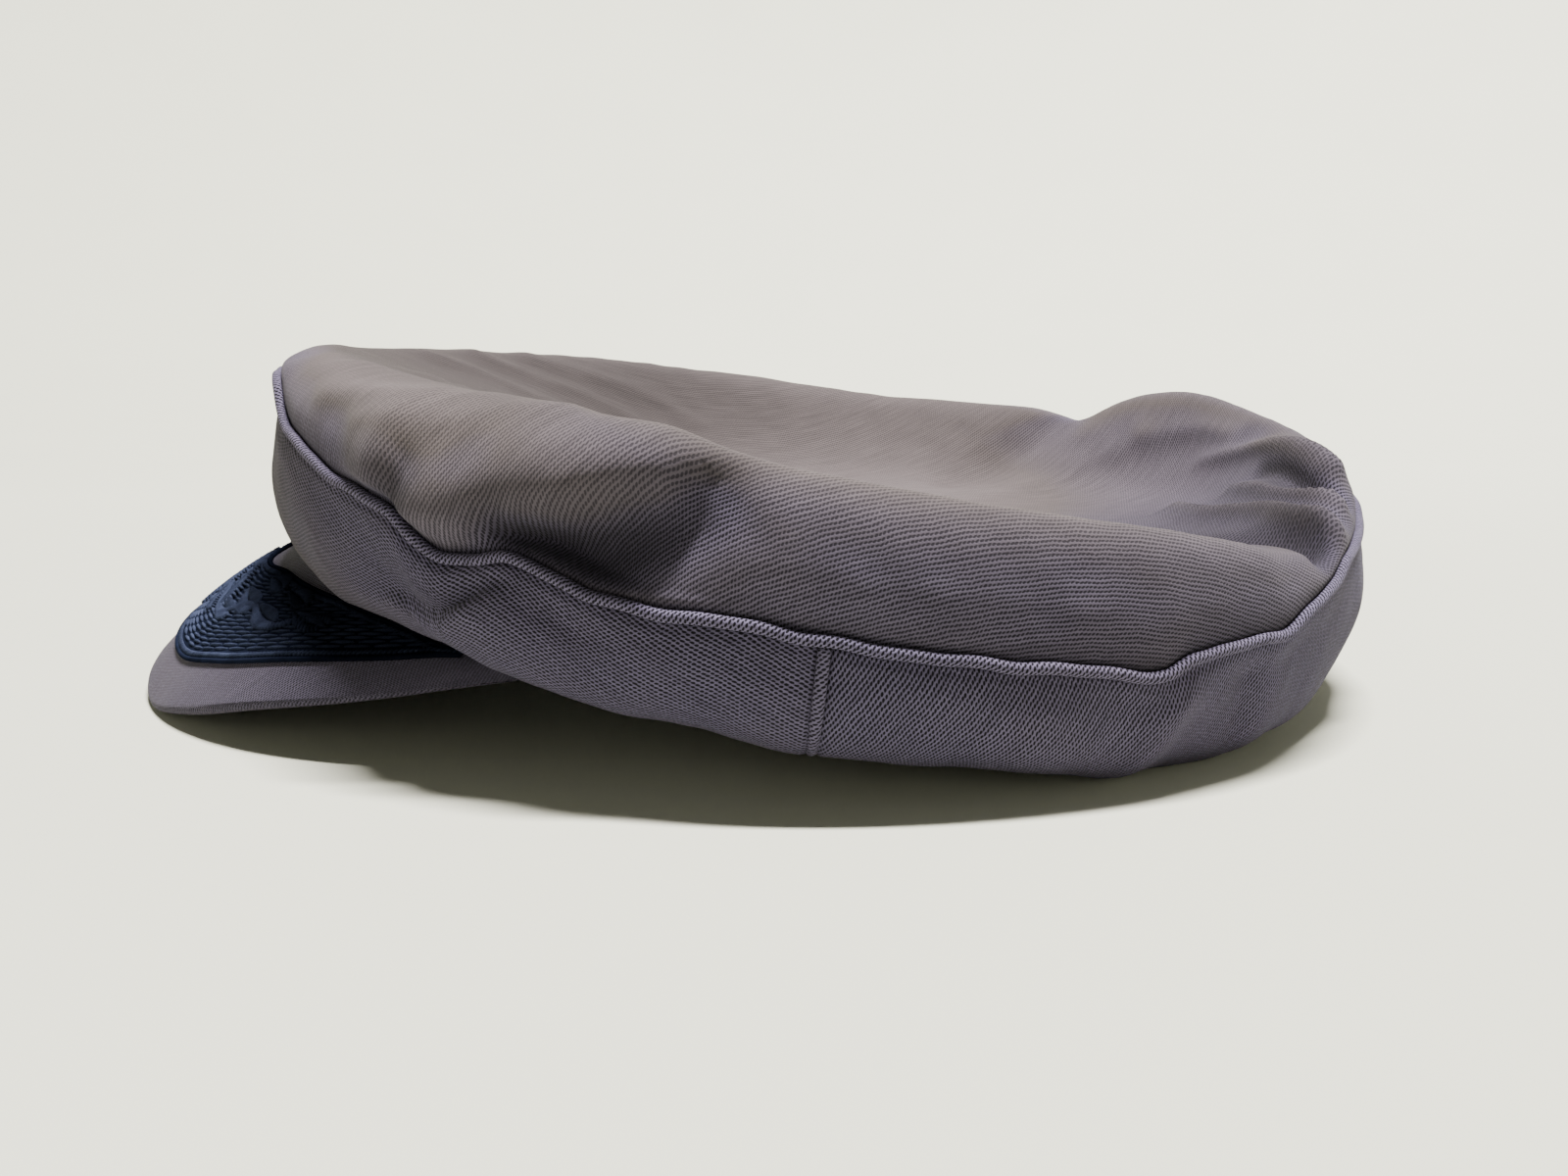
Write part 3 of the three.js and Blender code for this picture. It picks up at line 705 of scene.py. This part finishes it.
def topTone(azimuth, flat, inset, crest, creases):  # wear and darkening of the top panel, partly painted shade, before its bulges
    def distanceFrom(spot):
        middle = heading(fadingAndPaintedShade[spot + "Azimuth"]) * fadingAndPaintedShade[spot + "Reach"]
        return np.linalg.norm(flat - middle, axis=-1) / fadingAndPaintedShade[spot + "Radius"]

    inside = ramp(inset, 0.7 * crest, 1.2 * crest)
    front = eased(ramp(flat[..., 1], 5, -75))
    rear = eased(ramp(flat[..., 1], 5, 85))
    bow = ramp(np.minimum(azimuth, 360 - azimuth), 80, 40)[:, None]
    slope = (ramp(azimuth, 85, 115) * ramp(azimuth, 200, 170))[:, None] * (1 - inside)
    wrinkled = np.exp(-distanceFrom("wrinkle") ** 2)
    pale = np.exp(-distanceFrom("pale") ** 2)
    # lighter in the middle of the dish
    wear = inside * (fadingAndPaintedShade["dishWear"] + fadingAndPaintedShade["dishRear"] * rear + fadingAndPaintedShade["paleMiddle"] * pale)
    wear = np.maximum(wear, fadingAndPaintedShade["bowWear"] * bow * ramp(inset, 4.2, 18.2))
    wear = fadingAndPaintedShade["topWear"] + wear * (1 + fadingAndPaintedShade["wrinkleWear"] * wrinkled)
    # painted shade: darker in the creases and on the near slope, over the top's own tone
    darkeningAndShade = fadingAndPaintedShade["topDye"] + fadingAndPaintedShade["creasePaintedShade"] * np.clip(-creases, 0, 5) + fadingAndPaintedShade["slopePaintedShade"] * slope
    # darker towards the front of the dish and at the wrinkles at the back
    darkeningAndShade += inside * (fadingAndPaintedShade["dishDye"] + fadingAndPaintedShade["wrinkleDarker"] * wrinkled + fadingAndPaintedShade["dishFrontDarker"] * front)
    # painted shade: darker along the top panel's edge, in behind the welt
    darkeningAndShade += fadingAndPaintedShade["seamPaintedShade"] * np.exp(-((inset / 3.5) ** 2))
    return wear, darkeningAndShade


def crownTopPiece():
    azimuth = np.linspace(0, 360, crown["around"] + 1)
    line, run = meridians(topStops(azimuth), crown["topSamples"])
    length = run[:, -1:]
    t = np.linspace(0, 1, crown["topRings"] + 1)
    inset = crown["topEdge"] + (length - crown["topEdge"]) * (0.22 * t + 0.78 * t**2.1)
    base = pointsAlong(azimuth, line, run, length - inset)[:, ::-1]  # from the middle out
    inset = inset[:, ::-1]
    flat = heading(azimuth)[:, None] * (length - inset)[..., None]

    def flatPlace(a, d):
        return heading(a) * (np.interp(a % 360, azimuth, length[:, 0]) - d)

    behind = ramp(np.abs(azimuth - 180), 90, 50)[:, None]  # the folds at the back stop short of the seam
    clear = eased(ramp(inset, 1, 4.5 + 5 * behind))
    creases = foldHeights(topCreases, flat, flatPlace) * clear
    heights = creases + (foldHeights(topFolds, flat, flatPlace) + ripples(flat, crown["topRipples"])) * clear
    normals = gridNormals(base, True)
    pinch = 0.55 + 0.65 * ramp(np.minimum(azimuth, 360 - azimuth), 48, 62)[:, None]
    pinch = pinch * (1 - 0.55 * behind) * (1 - 0.6 * np.clip(normals[..., 2], 0, 1))
    tuckIn = -pinch * np.exp(-(((inset - 0.8) / 1.1) ** 2))  # in behind the welt
    points = base + normals * (heights * ramp(length - inset, 0, 12) + tuckIn)[..., None]
    easeMiddle(points, crown["easedMiddle"])
    crest = length - run[:, [2 * crown["topSamples"]]]
    wear, darkeningAndShade = topTone(azimuth, flat, inset, crest, creases)
    wear += wearOf(points, True)
    thread = threadPlaces(flat, crown["topWale"])
    piece = clothGrid("crownTop", points, thread, twill, wear, darkeningAndShade, awayFrom=(0, 0, -600))
    thickened(piece, crown["wall"])
    area = 0.5 * np.sum((length[:-1] - 0.8) ** 2) * math.radians(360 / crown["around"])
    quarter = crown["around"] // 4
    print("top panel", len(piece.data.polygons), "faces, flat area", round(area * 1e-6, 4), "flat length",
          round(length[0, 0] + length[2 * quarter, 0], 1), "width", round(2 * length[quarter, 0], 1))
    return piece


def sideSurface(azimuth, depth):  # places on the side panels before folding, by depth below the seam
    flatA, flatD = azimuth.ravel(), depth.ravel()
    line, run = meridians(sideStops(flatA), crown["sideSamples"])
    points = pointsAlong(flatA, line, run, flatD[:, None])[:, 0]
    return points.reshape(azimuth.shape + (3,))


def sideLength(azimuth):
    return meridians(sideStops(azimuth), crown["sideSamples"])[1][:, -1]


def seamSlant(share):  # the side seams lean forwards on their way down
    top, bottom = crown["sideSeam"]
    return top + (bottom - top) * ramp(share, 0, 0.6)


def sidePiece(name, start, end, wale):
    # start and end are azimuths by share of the way down, so that the edges follow the side seams
    t = np.linspace(0, 1, crown["sideRings"] + 1)
    share = 0.2 * t + 0.8 * t**1.7
    across = np.linspace(0, 1, crown["sideColumns"] + 1)[:, None]
    azimuth = start(share) * (1 - across) + end(share) * across
    length = sideLength(azimuth[:, 0])[:, None]
    depth = crown["sideEdge"] + (length - crown["sideEdge"]) * share
    base = sideSurface(azimuth, depth)
    perDegree = math.radians(crown["sideFlatRadius"])
    flat = np.stack([azimuth * perDegree, -depth], axis=-1)

    def flatPlace(a, d):
        return np.array([a * perDegree, -d])

    clear = ramp(depth, 2.5, 7.5) * ramp(length - depth, 0, 10)
    folds = foldHeights(sideFolds, flat, flatPlace) * clear
    heights = folds + ripples(flat, crown["sideRipples"]) * clear
    heights -= 0.8 * np.exp(-(((depth - 0.8) / 0.8) ** 2))  # the edge turns in behind the welt
    heights -= 0.3 * np.exp(-(((depth - 2.3) / 0.45) ** 2))  # the stitched groove below the welt
    for seam in (azimuth[:1], azimuth[-1:]):  # and at both side seams
        gap = np.radians(np.abs(azimuth - seam)) * ovalReach(azimuth)
        heights -= crown["seamTurnIn"] * np.exp(-((gap / 0.7) ** 2))
    points = base + gridNormals(base, False) * heights[..., None]
    points[..., 2] = np.maximum(points[..., 2], 0)
    front = ramp(np.abs(azimuth), 50, 20)
    far = ramp(np.abs(azimuth - 92), 100, 140)  # the far side is faded like the front
    wear = wearOf(points, False) + fadingAndPaintedShade["sideWear"] + fadingAndPaintedShade["sideEndsWear"] * np.maximum(front, far)
    # side panels darker all over, partly their own tone and partly painted shade, with more painted shade at
    # the front under the crown's overhang and in the folds
    darkeningAndShade = fadingAndPaintedShade["sideToneAndShade"] + fadingAndPaintedShade["sideFrontPaintedShade"] * front + fadingAndPaintedShade["sideFoldPaintedShade"] * np.clip(-folds, 0, 6)
    piece = clothGrid(name, points, threadPlaces(flat, wale), twill, wear, darkeningAndShade, awayFrom=(0, 0, 25))
    thickened(piece, crown["wall"])
    print(name, len(piece.data.polygons), "faces")
    return piece


welts = {
    "radius": 1.15,
    "out": 0.2,
    "flange": [(-2.0, -0.3), (-2.0, -1.1)],  # the seam allowance behind the cording
    "stripHalfWidth": 1.15,
    "stripProud": 0.75,
    "stripSunk": 0.35,
    "slant": 50,  # the strips are cut on the bias
}
stripHalf = [(1, 0), (0.97, 0.45), (0.8, 0.85), (0.4, 1.35)]  # shares of its half width and height


def crownWeltPiece():
    azimuth = np.linspace(0, 360, 720, endpoint=False)
    s = sectionAt(azimuth)
    wobble = 0.18 * np.sin(np.radians(azimuth * 37 + 20)) + 0.14 * np.sin(np.radians(azimuth * 61 + 75))
    plan = heading(azimuth) * (s["seamR"] + welts["out"])[:, None]
    line = np.concatenate([plan, (s["seamZ"] + wobble)[:, None]], axis=-1)
    up = np.tile([0.0, 0.0, 1.0], (len(line), 1))
    turn = np.radians(np.linspace(-110, 110, 13))
    cording = np.stack([np.cos(turn), np.sin(turn)], axis=-1) * welts["radius"]
    points = sweep(line, up, np.concatenate([cording, welts["flange"]]), True)
    return clothGrid("crownWelt", points, sweptThread(points, welts["slant"]), twill, fadingAndPaintedShade["crownWelt"])


def sideWeltPiece(name, mirror):
    share = np.linspace(0.0, 0.985, 96)
    azimuth = seamSlant(share) * mirror
    depth = crown["sideEdge"] + (sideLength(azimuth) - crown["sideEdge"]) * share
    line = sideSurface(azimuth, depth)
    ahead = sideSurface(azimuth + 0.5, depth)
    normal = unit(np.cross(np.gradient(line, axis=0), ahead - line))
    line = line - normal * welts["stripSunk"]
    line[:, 2] = np.maximum(line[:, 2], 0.3)
    w, h = welts["stripHalfWidth"], welts["stripProud"]
    profile = [(-w * x, h * y) for x, y in stripHalf] + [(0, 1.45 * h)]
    profile += [(w * x, h * y) for x, y in stripHalf[::-1]] + [(w * 0.5, -0.25), (-w * 0.5, -0.25)]
    points = closedEnds(sweep(line, normal, profile, False))
    points[..., 2] = np.maximum(points[..., 2], 0)
    return clothGrid(name, points, sweptThread(points, welts["slant"]), twill, fadingAndPaintedShade["sideWelt"])


gap = crown["seamGap"]
crownTop = crownTopPiece()
sideFront = sidePiece("sideFront", lambda s: -seamSlant(s) + gap, lambda s: seamSlant(s) - gap,
                      crown["frontWale"])
sideRear = sidePiece("sideRear", lambda s: seamSlant(s) + gap, lambda s: 360 - seamSlant(s) - gap,
                     crown["rearWale"])
crownWelt = crownWeltPiece()
sideWeltLeft = sideWeltPiece("sideWeltLeft", 1)
sideWeltRight = sideWeltPiece("sideWeltRight", -1)
print("crown sewn")


# The band, hidden under the overhang of the crown

def bandPiece():
    a = np.radians(np.linspace(0, 360, 181)[:-1])
    low = bandBottom(bandOval(a, 0)[1])
    wall, tall, r = band["wall"], band["tall"], band["rounded"]
    corners = [(0, r), (0, tall - r), (-r, tall), (r - wall, tall),
               (-wall, tall - r), (-wall, r), (r - wall, 0), (-r, 0)]
    points = np.stack([np.stack([*bandOval(a, out), low + rise], -1) for out, rise in corners], axis=1)
    points = np.concatenate([points, points[:, :1]], axis=1)
    points = np.concatenate([points, points[:1]])
    return clothGrid("bandRing", points, sweptThread(points, 45), twill)


# The peak: a stiff board wrapped in twill

peak = {
    "halfWidth": 91.0,
    "reach": 97.5,
    "middleY": -77.0,
    "wall": 2.8,
    "arc": 77.0,
    "edgeArc": 104.0,
    "bulge": 2.6,
    "dropAtBand": 0.4,
    "offBand": 2.4,
    "groove": 0.3,
    "roundedEnd": 2.5,
    "wale": 118,
    "stitchArc": 73,
    "stitchPitch": 2.4,
    "stitchGrain": (0.95, 0.2, 0.2),  # half length, width and height
}
# angle, height of the edge
rimHeights = [[0, 7.6], [18, 3.9], [32, 1.2], [48, 4.6], [64, 9.6], [80, 13.4], [94, 16.4], [106, 17.6]]


def peakPoint(angle, share):
    angle, share = np.broadcast_arrays(np.asarray(angle, float), np.asarray(share, float))
    startX, startY = bandOval(np.radians(angle), peak["offBand"])
    startZ = bandBottom(startY) + peak["wall"] - peak["dropAtBand"]
    turn = angle * peak["edgeArc"] / peak["arc"]
    b = np.radians(turn)
    endX = peak["halfWidth"] * np.sin(b)
    endY = peak["middleY"] - peak["reach"] * np.cos(b)
    endZ = tableAt(rimHeights, np.abs(turn))[..., 0]
    arch = peak["bulge"] * 4 * share * (1 - share)
    return np.stack([startX + (endX - startX) * share + 0.6 * arch * np.sin(b),
                     startY + (endY - startY) * share - 0.6 * arch * np.cos(b),
                     startZ + (endZ - startZ) * share + 0.8 * arch], axis=-1)


def peakNormal(angle, share):
    along = peakPoint(angle + 0.4, share) - peakPoint(angle - 0.4, share)
    out = peakPoint(angle, share + 0.01) - peakPoint(angle, share - 0.01)
    return unit(np.cross(out, along))


def onPeak(angle, share, lift):
    return peakPoint(angle, share) + peakNormal(angle, share) * lift


def peakPiece():
    angle = np.linspace(-1, 1, 161) * peak["arc"]
    shares = 1 - (1 - np.linspace(0, 1, 34)) ** 1.3
    grid = peakPoint(angle[:, None], shares[None])
    normal = peakNormal(angle[:, None], shares[None] * 0.98 + 0.01)
    tip = np.sqrt(1 - ramp(np.abs(angle), peak["arc"] - peak["roundedEnd"], peak["arc"]) ** 2)
    half = (peak["wall"] / 2 * tip)[:, None, None]
    board = grid - normal * (peak["wall"] / 2)
    outward = unit(grid[:, -1:] - grid[:, -2:-1])
    roll = np.linspace(75, -75, 17)
    groove = 1 - peak["groove"] * np.exp(-((roll + 12) / 12) ** 2)  # where the two covers meet
    roll = np.radians(roll)[None, :, None]
    rim = normal[:, -1:] * np.sin(roll) + outward * np.cos(roll)
    rim = board[:, -1:] - outward * (peak["wall"] / 2) + half * groove[None, :, None] * rim
    keep = shares < 0.985
    topSide = (board + normal * half)[:, keep]
    underSide = (board - normal * half)[:, keep]
    points = np.concatenate([topSide, rim, underSide[:, ::-1], topSide[:, :1]], axis=1)
    points[..., 2] = np.maximum(points[..., 2], 0)
    out = runLength(points[len(angle) // 2])
    flat = heading(angle * 1.2)[:, None] * (60 + out)[:, None]
    thread = threadPlaces(flat, peak["wale"])
    return clothGrid("peakBoard", points, thread, twill, fadingAndPaintedShade["peakWear"], fadingAndPaintedShade["peakDye"])


bandRing = bandPiece()
peakBoard = peakPiece()
print("band and peak made")


# Embroidered trim on the peak

trim = {
    "wall": 0.55,
    "lift": 0.15,
    "arc": 66.0,
    "edgeRadius": 0.6,
    "edgeMargin": 0.35,
    "ropeMargin": 1.7,
    "ropePitch": 1.15,
    "ropeGrain": (0.95, 0.42, 0.42),  # half length, width and height
    "ribPitch": 1.2,
    "ribSlant": 48,
    "groundRows": 24,
    "groundPitch": 1.22,
    "groundStitch": 6.8,
    "vinePitch": 1.05,
}
# angle, inner share, outer share
trimOutline = [[0, 0.06, 0.81], [3, 0.07, 0.81], [8, 0.22, 0.795], [16, 0.19, 0.77], [28, 0.12, 0.73],
               [44, 0.12, 0.68], [58, 0.22, 0.61], [66, 0.42, 0.53]]
trimTop = trim["lift"] + trim["wall"]


def trimShares(angle):
    v = tableAt(trimOutline, np.abs(angle))
    return v[..., 0], v[..., 1]


def trimPatch():
    angle = np.linspace(-1, 1, 177)[:, None] * trim["arc"]
    inner, outer = trimShares(angle)
    across = np.linspace(0, 1, 25)[None]
    share = inner + (outer - inner) * across
    rounded = np.sqrt(np.clip(1 - np.abs(2 * across - 1) ** 8, 0, 1))
    ends = np.sqrt(np.clip(1 - (np.abs(angle) / trim["arc"]) ** 60, 0, 1))
    raised = trim["lift"] + trim["wall"] * (0.25 + 0.75 * rounded * ends)
    top = onPeak(angle, share, raised[..., None])
    under = onPeak(angle, share, trim["lift"])
    points = np.concatenate([top, under[:, ::-1], top[:, :1]], axis=1)
    points[0] = points[0].mean(axis=0)
    points[-1] = points[-1].mean(axis=0)
    return clothGrid("trimPatch", points, sweptThread(points, 20), satin)


def tubePiece(name, line, up, radius, closed, slant):
    turn = np.arange(8) * 2 * np.pi / 8
    points = sweep(line, up, np.stack([np.cos(turn), np.sin(turn)], axis=-1) * radius, closed)
    if not closed:
        points = closedEnds(points)
    return clothGrid(name, points, sweptThread(points, slant), satin)


def trimRing(margin, count=None, pitch=None):  # even places round the trim, a margin inside its outline
    angle = np.linspace(-1, 1, 600) * trim["arc"]
    inner, outer = trimShares(angle)
    deep = np.linalg.norm(peakPoint(angle, outer) - peakPoint(angle, inner), axis=-1) / (outer - inner)
    inset = margin / deep
    middle = (inner + outer) / 2
    a = np.concatenate([angle, angle[::-1]])
    s = np.concatenate([np.maximum(outer - inset, middle), np.minimum(inner + inset, middle)[::-1]])
    run = runLength(peakPoint(a, s))
    even = np.linspace(0, run[-1], count or int(run[-1] / pitch), endpoint=False)
    return np.interp(even, run, a), np.interp(even, run, s)


def oneStitch():  # modelled once: a low-sided grain that each stitch copies
    deselectAll()
    bpy.ops.mesh.primitive_uv_sphere_add(segments=6, ring_count=5, radius=1)
    piece = bpy.context.object
    piece.name = "stitchGrain"
    piece.data.uv_layers[0].name = "thread"
    bpy.ops.object.shade_smooth()
    return piece


def stitchRow(name, places, material):
    # places: middle, along, up, half length, half width, half height, all in millimetres
    grain = oneStitch()
    copies = []
    for middle, along, up, length, width, height in places:
        along = Vector(along).normalized()
        side = Vector(up).cross(along).normalized()
        up = along.cross(side)
        turn = Matrix((along * length * mm, side * width * mm, up * height * mm)).transposed().to_4x4()
        turn.translation = Vector(np.asarray(middle) * mm + crownMiddle)
        copy = grain.copy()
        copy.data = grain.data.copy()
        copy.data.transform(turn)
        bpy.context.collection.objects.link(copy)
        copies.append(copy)
    piece = joined(copies, name)
    piece.data.materials.append(material)
    bpy.data.objects.remove(grain)
    return piece


def ropeStitches():
    a, s = trimRing(trim["ropeMargin"], pitch=trim["ropePitch"])
    middle = onPeak(a, s, trimTop + 0.1)
    up = peakNormal(a, s)
    ahead = unit(aheadOf(middle, True))
    along = unit(ahead * 0.75 + np.cross(up, ahead) * 0.66)
    return [(m, d, u, *trim["ropeGrain"]) for m, d, u in zip(middle, along, up)]


# leaves of the embroidery, on each side of the front: x along the crescent, y out from the band, heading from
# the run, length, width, bend in degrees from root to tip
trimLeaves = [
    [0.6, 16, 90, 21, 6.5, 0],
    [3.2, 16, 66, 21, 6.5, -16],
    [5.6, 14, 40, 21, 7, -22],
    [8, 11, 14, 19, 7, -24],
    [22, 20, 62, 13, 6, -60],
    [25, 13, 24, 19, 8, 30],
    [34, 22, 14, 16, 6, -30],
    [43, 15, 20, 17, 7.5, -30],
    [49, 10, -16, 14, 6, 30],
    [60, 15, 18, 16, 6.5, -26],
    [66, 9, -10, 13, 5.5, 26],
    [78, 12, 10, 14, 5, -16],
]


def trimChart():  # run along the crescent and depth of the peak, by angle
    angle = np.linspace(0, trim["arc"], 200)
    run = runLength(peakPoint(angle, 0.5))
    deep = np.linalg.norm(peakPoint(angle, 1) - peakPoint(angle, 0), axis=-1)
    return angle, run, deep


def onTrim(x, y):  # angle and share of places given in millimetres along and across the crescent
    angle, run, deep = trimChart()
    a = np.interp(np.abs(x), run, angle)
    return np.where(x < 0, -a, a), y / np.interp(a, angle, deep)


def trimStitches(starts, ends, width, height, lift):  # one grain for each pair of chart places
    fromA, fromS = onTrim(*np.transpose(starts))
    toA, toS = onTrim(*np.transpose(ends))
    middleA, middleS = (fromA + toA) / 2, (fromS + toS) / 2
    inner, outer = trimShares(middleA)
    held = (middleS > inner + 0.035) & (middleS < outer - 0.03)  # only inside the border
    first, last = onPeak(fromA, fromS, trimTop + lift), onPeak(toA, toS, trimTop + lift)
    up = peakNormal(middleA, middleS)
    half = np.linalg.norm(last - first, axis=-1) / 2 + width * 0.6
    rows = zip(first[held], last[held], up[held], half[held])
    return [((p + q) / 2, q - p, u, h, width, height) for p, q, u, h in rows]


def bothSides(rows):
    return np.concatenate([rows, rows * [-1, 1]])


def leafRibs():
    starts, ends = [], []
    slant = math.radians(trim["ribSlant"])
    for x, y, turn, length, width, bend in trimLeaves:
        count = int(length / trim["ribPitch"])
        t = (np.arange(count) + 0.5) / count
        way = np.radians(turn + bend * t)
        spine = [x, y] + np.cumsum(np.stack([np.cos(way), np.sin(way)], -1), axis=0) * length / count
        half = width / 2 * np.sin(np.pi * t**0.8) ** 0.8
        wide = half > 0.5
        for hand in (1, -1):
            rib = np.stack([np.cos(way + hand * slant), np.sin(way + hand * slant)], -1)
            tip = spine + rib * (half / math.sin(slant))[:, None]
            starts.extend(bothSides(spine[wide]))
            ends.extend(bothSides(tip[wide]))
    return trimStitches(starts, ends, 0.36, 0.6, 0.35)


def contourRibs():  # the ground: long stitches laid end to end alongside the outer border, row after row
    angle, run, deep = trimChart()
    dice = np.random.default_rng(7)
    starts, ends = [], []
    for k in range(trim["groundRows"]):
        x = np.arange(0.4 + 2.3 * (k % 3), run[-1] - 2, trim["groundStitch"])
        outer = trimShares(np.interp(x, run, angle))[1] * np.interp(x, run, deep)
        line = np.stack([x, outer - 3.5 - trim["groundPitch"] * k + dice.uniform(-0.15, 0.15, len(x))], -1)
        starts.extend(bothSides(line[:-1]))
        ends.extend(bothSides(line[1:] - [0.3, 0]))
    return trimStitches(starts, ends, 0.42, 0.55, -0.05)


def vineStitches():  # a wavy stem through the leaves, in slanted stitches
    x = np.arange(9, 92, trim["vinePitch"])
    angle, run, deep = trimChart()
    inner, outer = trimShares(np.interp(x, run, angle))
    middle = (0.52 * inner + 0.48 * outer) * np.interp(x, run, deep) + 2.4 * np.sin(x / 5.2)
    stem = np.stack([x, middle], -1)
    return trimStitches(bothSides(stem - [0.7, 0.8]), bothSides(stem + [0.7, 0.8]), 0.44, 0.5, 0.45)


trimBase = trimPatch()
edgeA, edgeS = trimRing(trim["edgeMargin"], count=420)
edgeLine = onPeak(edgeA, edgeS, trim["lift"] + trim["wall"] * 0.62)
trimEdge = tubePiece("trimEdge", edgeLine, peakNormal(edgeA, edgeS), trim["edgeRadius"], True, 80)
trimRope = stitchRow("trimRope", ropeStitches(), raisedSatin)
trimLeafRibs = stitchRow("trimLeaves", leafRibs() + contourRibs() + vineStitches(), raisedSatin)
print("trim embroidered,", len(trimLeafRibs.data.polygons), "faces of leaves")


# Cord across the front of the band

cord = {
    "radius": 1.5,
    "strands": 3,
    "strandRadius": 0.73,
    "arc": 20.0,
    "rise": 4.2,
    "off": 1.9,
    "turnMm": 9.0,
}


def chinCordPiece():
    x, y = bandOval(np.radians(np.linspace(-cord["arc"], cord["arc"], 320)), cord["off"])
    line = np.stack([x, y, bandBottom(y) + cord["rise"]], -1)
    run = runLength(line)
    ahead = unit(np.gradient(line, axis=0))
    side = unit(np.cross(ahead, np.array([0.0, 0.0, 1.0])))
    up = np.cross(side, ahead)
    strands = []
    for k in range(cord["strands"]):
        turn = (run / cord["turnMm"] * 2 * np.pi + k * 2 * np.pi / cord["strands"])[:, None]
        offset = (side * np.cos(turn) + up * np.sin(turn)) * (cord["radius"] - cord["strandRadius"])
        strands.append(tubePiece("cordStrand", line + offset, up, cord["strandRadius"], False, 60))
    return joined(strands, "chinCord")


def rimStitches():  # lockstitch along the groove in the peak's edge
    angle = np.linspace(-1, 1, 2000) * peak["stitchArc"]
    run = runLength(peakPoint(angle, 1))
    count = int(run[-1] / peak["stitchPitch"])
    even = np.interp((np.arange(count) + 0.5) / count * run[-1], run, angle)
    up = unit(peakPoint(even, 1.0) - peakPoint(even, 0.99))
    middle = onPeak(even, 1, -0.62 * peak["wall"]) - up * 0.42
    along = np.gradient(middle, axis=0)
    return [(m, d, u, *peak["stitchGrain"]) for m, d, u in zip(middle, along, up)]


chinCord = chinCordPiece()
peakStitches = stitchRow("peakStitches", rimStitches(), sewing)
print("cord and stitches made")


# Attaching the pieces to the root, and hiding the parts they replace

for piece, node, slot in (
    (crownTop, "crown_top", "twill"), (sideFront, "side_front", "twill"), (sideRear, "side_rear", "twill"),
    (crownWelt, "crown_welt", "twill"), (sideWeltLeft, "side_welt_left", "twill"),
    (sideWeltRight, "side_welt_right", "twill"), (bandRing, "band", "twill"), (peakBoard, "peak", "twill"),
    (trimBase, "peak_trim", "embroidery"), (chinCord, "chin_cord", "cord"),
):
    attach(piece, "root")
    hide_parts(node)
for piece, slot in (
    (trimEdge, "embroidery"), (trimRope, "embroidery"), (trimLeafRibs, "embroidery"), (peakStitches, "twill"),
):
    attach(piece, "root")
for piece, rests in ((crownTop, [sideFront, sideRear]), (sideFront, [bandRing]), (sideRear, [bandRing])):
    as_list(rests)


# Stage, light and camera

stage = {
    "flatReach": 1.0,  # metres of level floor all round
    "sweepRadius": 1.6,
    "lampPlace": (-0.16, 0.35, 3.0),  # metres from the crown's middle, a little to the back and the far side
    "lampSize": (0.16, 1.2),  # a long tube, so the cap's shadow is sharp at the side and soft at both ends
    "lampPower": 600,
    "lampColour": "#fffaf4",
    "roomColour": "#f2f4ff",
    "roomStrength": 0.005,
}
view = {
    "place": (0.3133, -0.0115, 0.075),  # metres, along Y from the crown's middle
    "tilt": 80,  # degrees up from straight down
    "lens": 27,
    "sensor": 36,
}


def stagePiece():  # level floor that sweeps up on every side, far behind the views
    turn = np.linspace(0, 1, 17)[1:] * math.pi / 2
    level = np.linspace(0, stage["flatReach"], 6)
    reach = np.concatenate([level, stage["flatReach"] + stage["sweepRadius"] * np.sin(turn)])
    height = np.concatenate([0 * level, stage["sweepRadius"] * (1 - np.cos(turn))])
    plan = heading(np.linspace(0, 360, 97))[:, None] * reach[None, :, None]
    rise = np.broadcast_to(height[None, :, None], plan.shape[:2] + (1,))
    points = np.concatenate([plan, rise], axis=-1) / mm
    points[-1] = points[0]
    return clothGrid("studioFloor", points, np.zeros(points.shape[:2] + (2,)), paint, awayFrom=(0, 0, -3000))


floor = stagePiece()

deselectAll()
bpy.ops.object.light_add(type="AREA", location=Vector(crownMiddle) + Vector(stage["lampPlace"]))
lamp = bpy.context.object
lamp.name = "overheadTube"
lamp.data.shape = "RECTANGLE"
lamp.data.size, lamp.data.size_y = stage["lampSize"]
lamp.data.energy = stage["lampPower"]
lamp.data.color = toLinear(stage["lampColour"])[:3]

world = bpy.data.worlds.new("softRoom")
bpy.context.scene.world = world
world.use_nodes = True
world.node_tree.nodes.clear()
sky = addNode(world.node_tree, "Background", inputs={"Color": toLinear(stage["roomColour"]),
                                                     "Strength": stage["roomStrength"]})
addNode(world.node_tree, "OutputWorld", inputs={"Surface": sky})

viewX, viewY, viewZ = view["place"]
bpy.ops.object.camera_add(location=(viewX, crownMiddle[1] + viewY, viewZ),
                          rotation=(math.radians(view["tilt"]), 0, math.radians(90)))
camera = bpy.context.object
camera.name = "photoCamera"
camera.data.lens = view["lens"]
camera.data.sensor_width = view["sensor"]
camera.data.clip_start = 0.01
bpy.context.scene.camera = camera
print("stage lit")
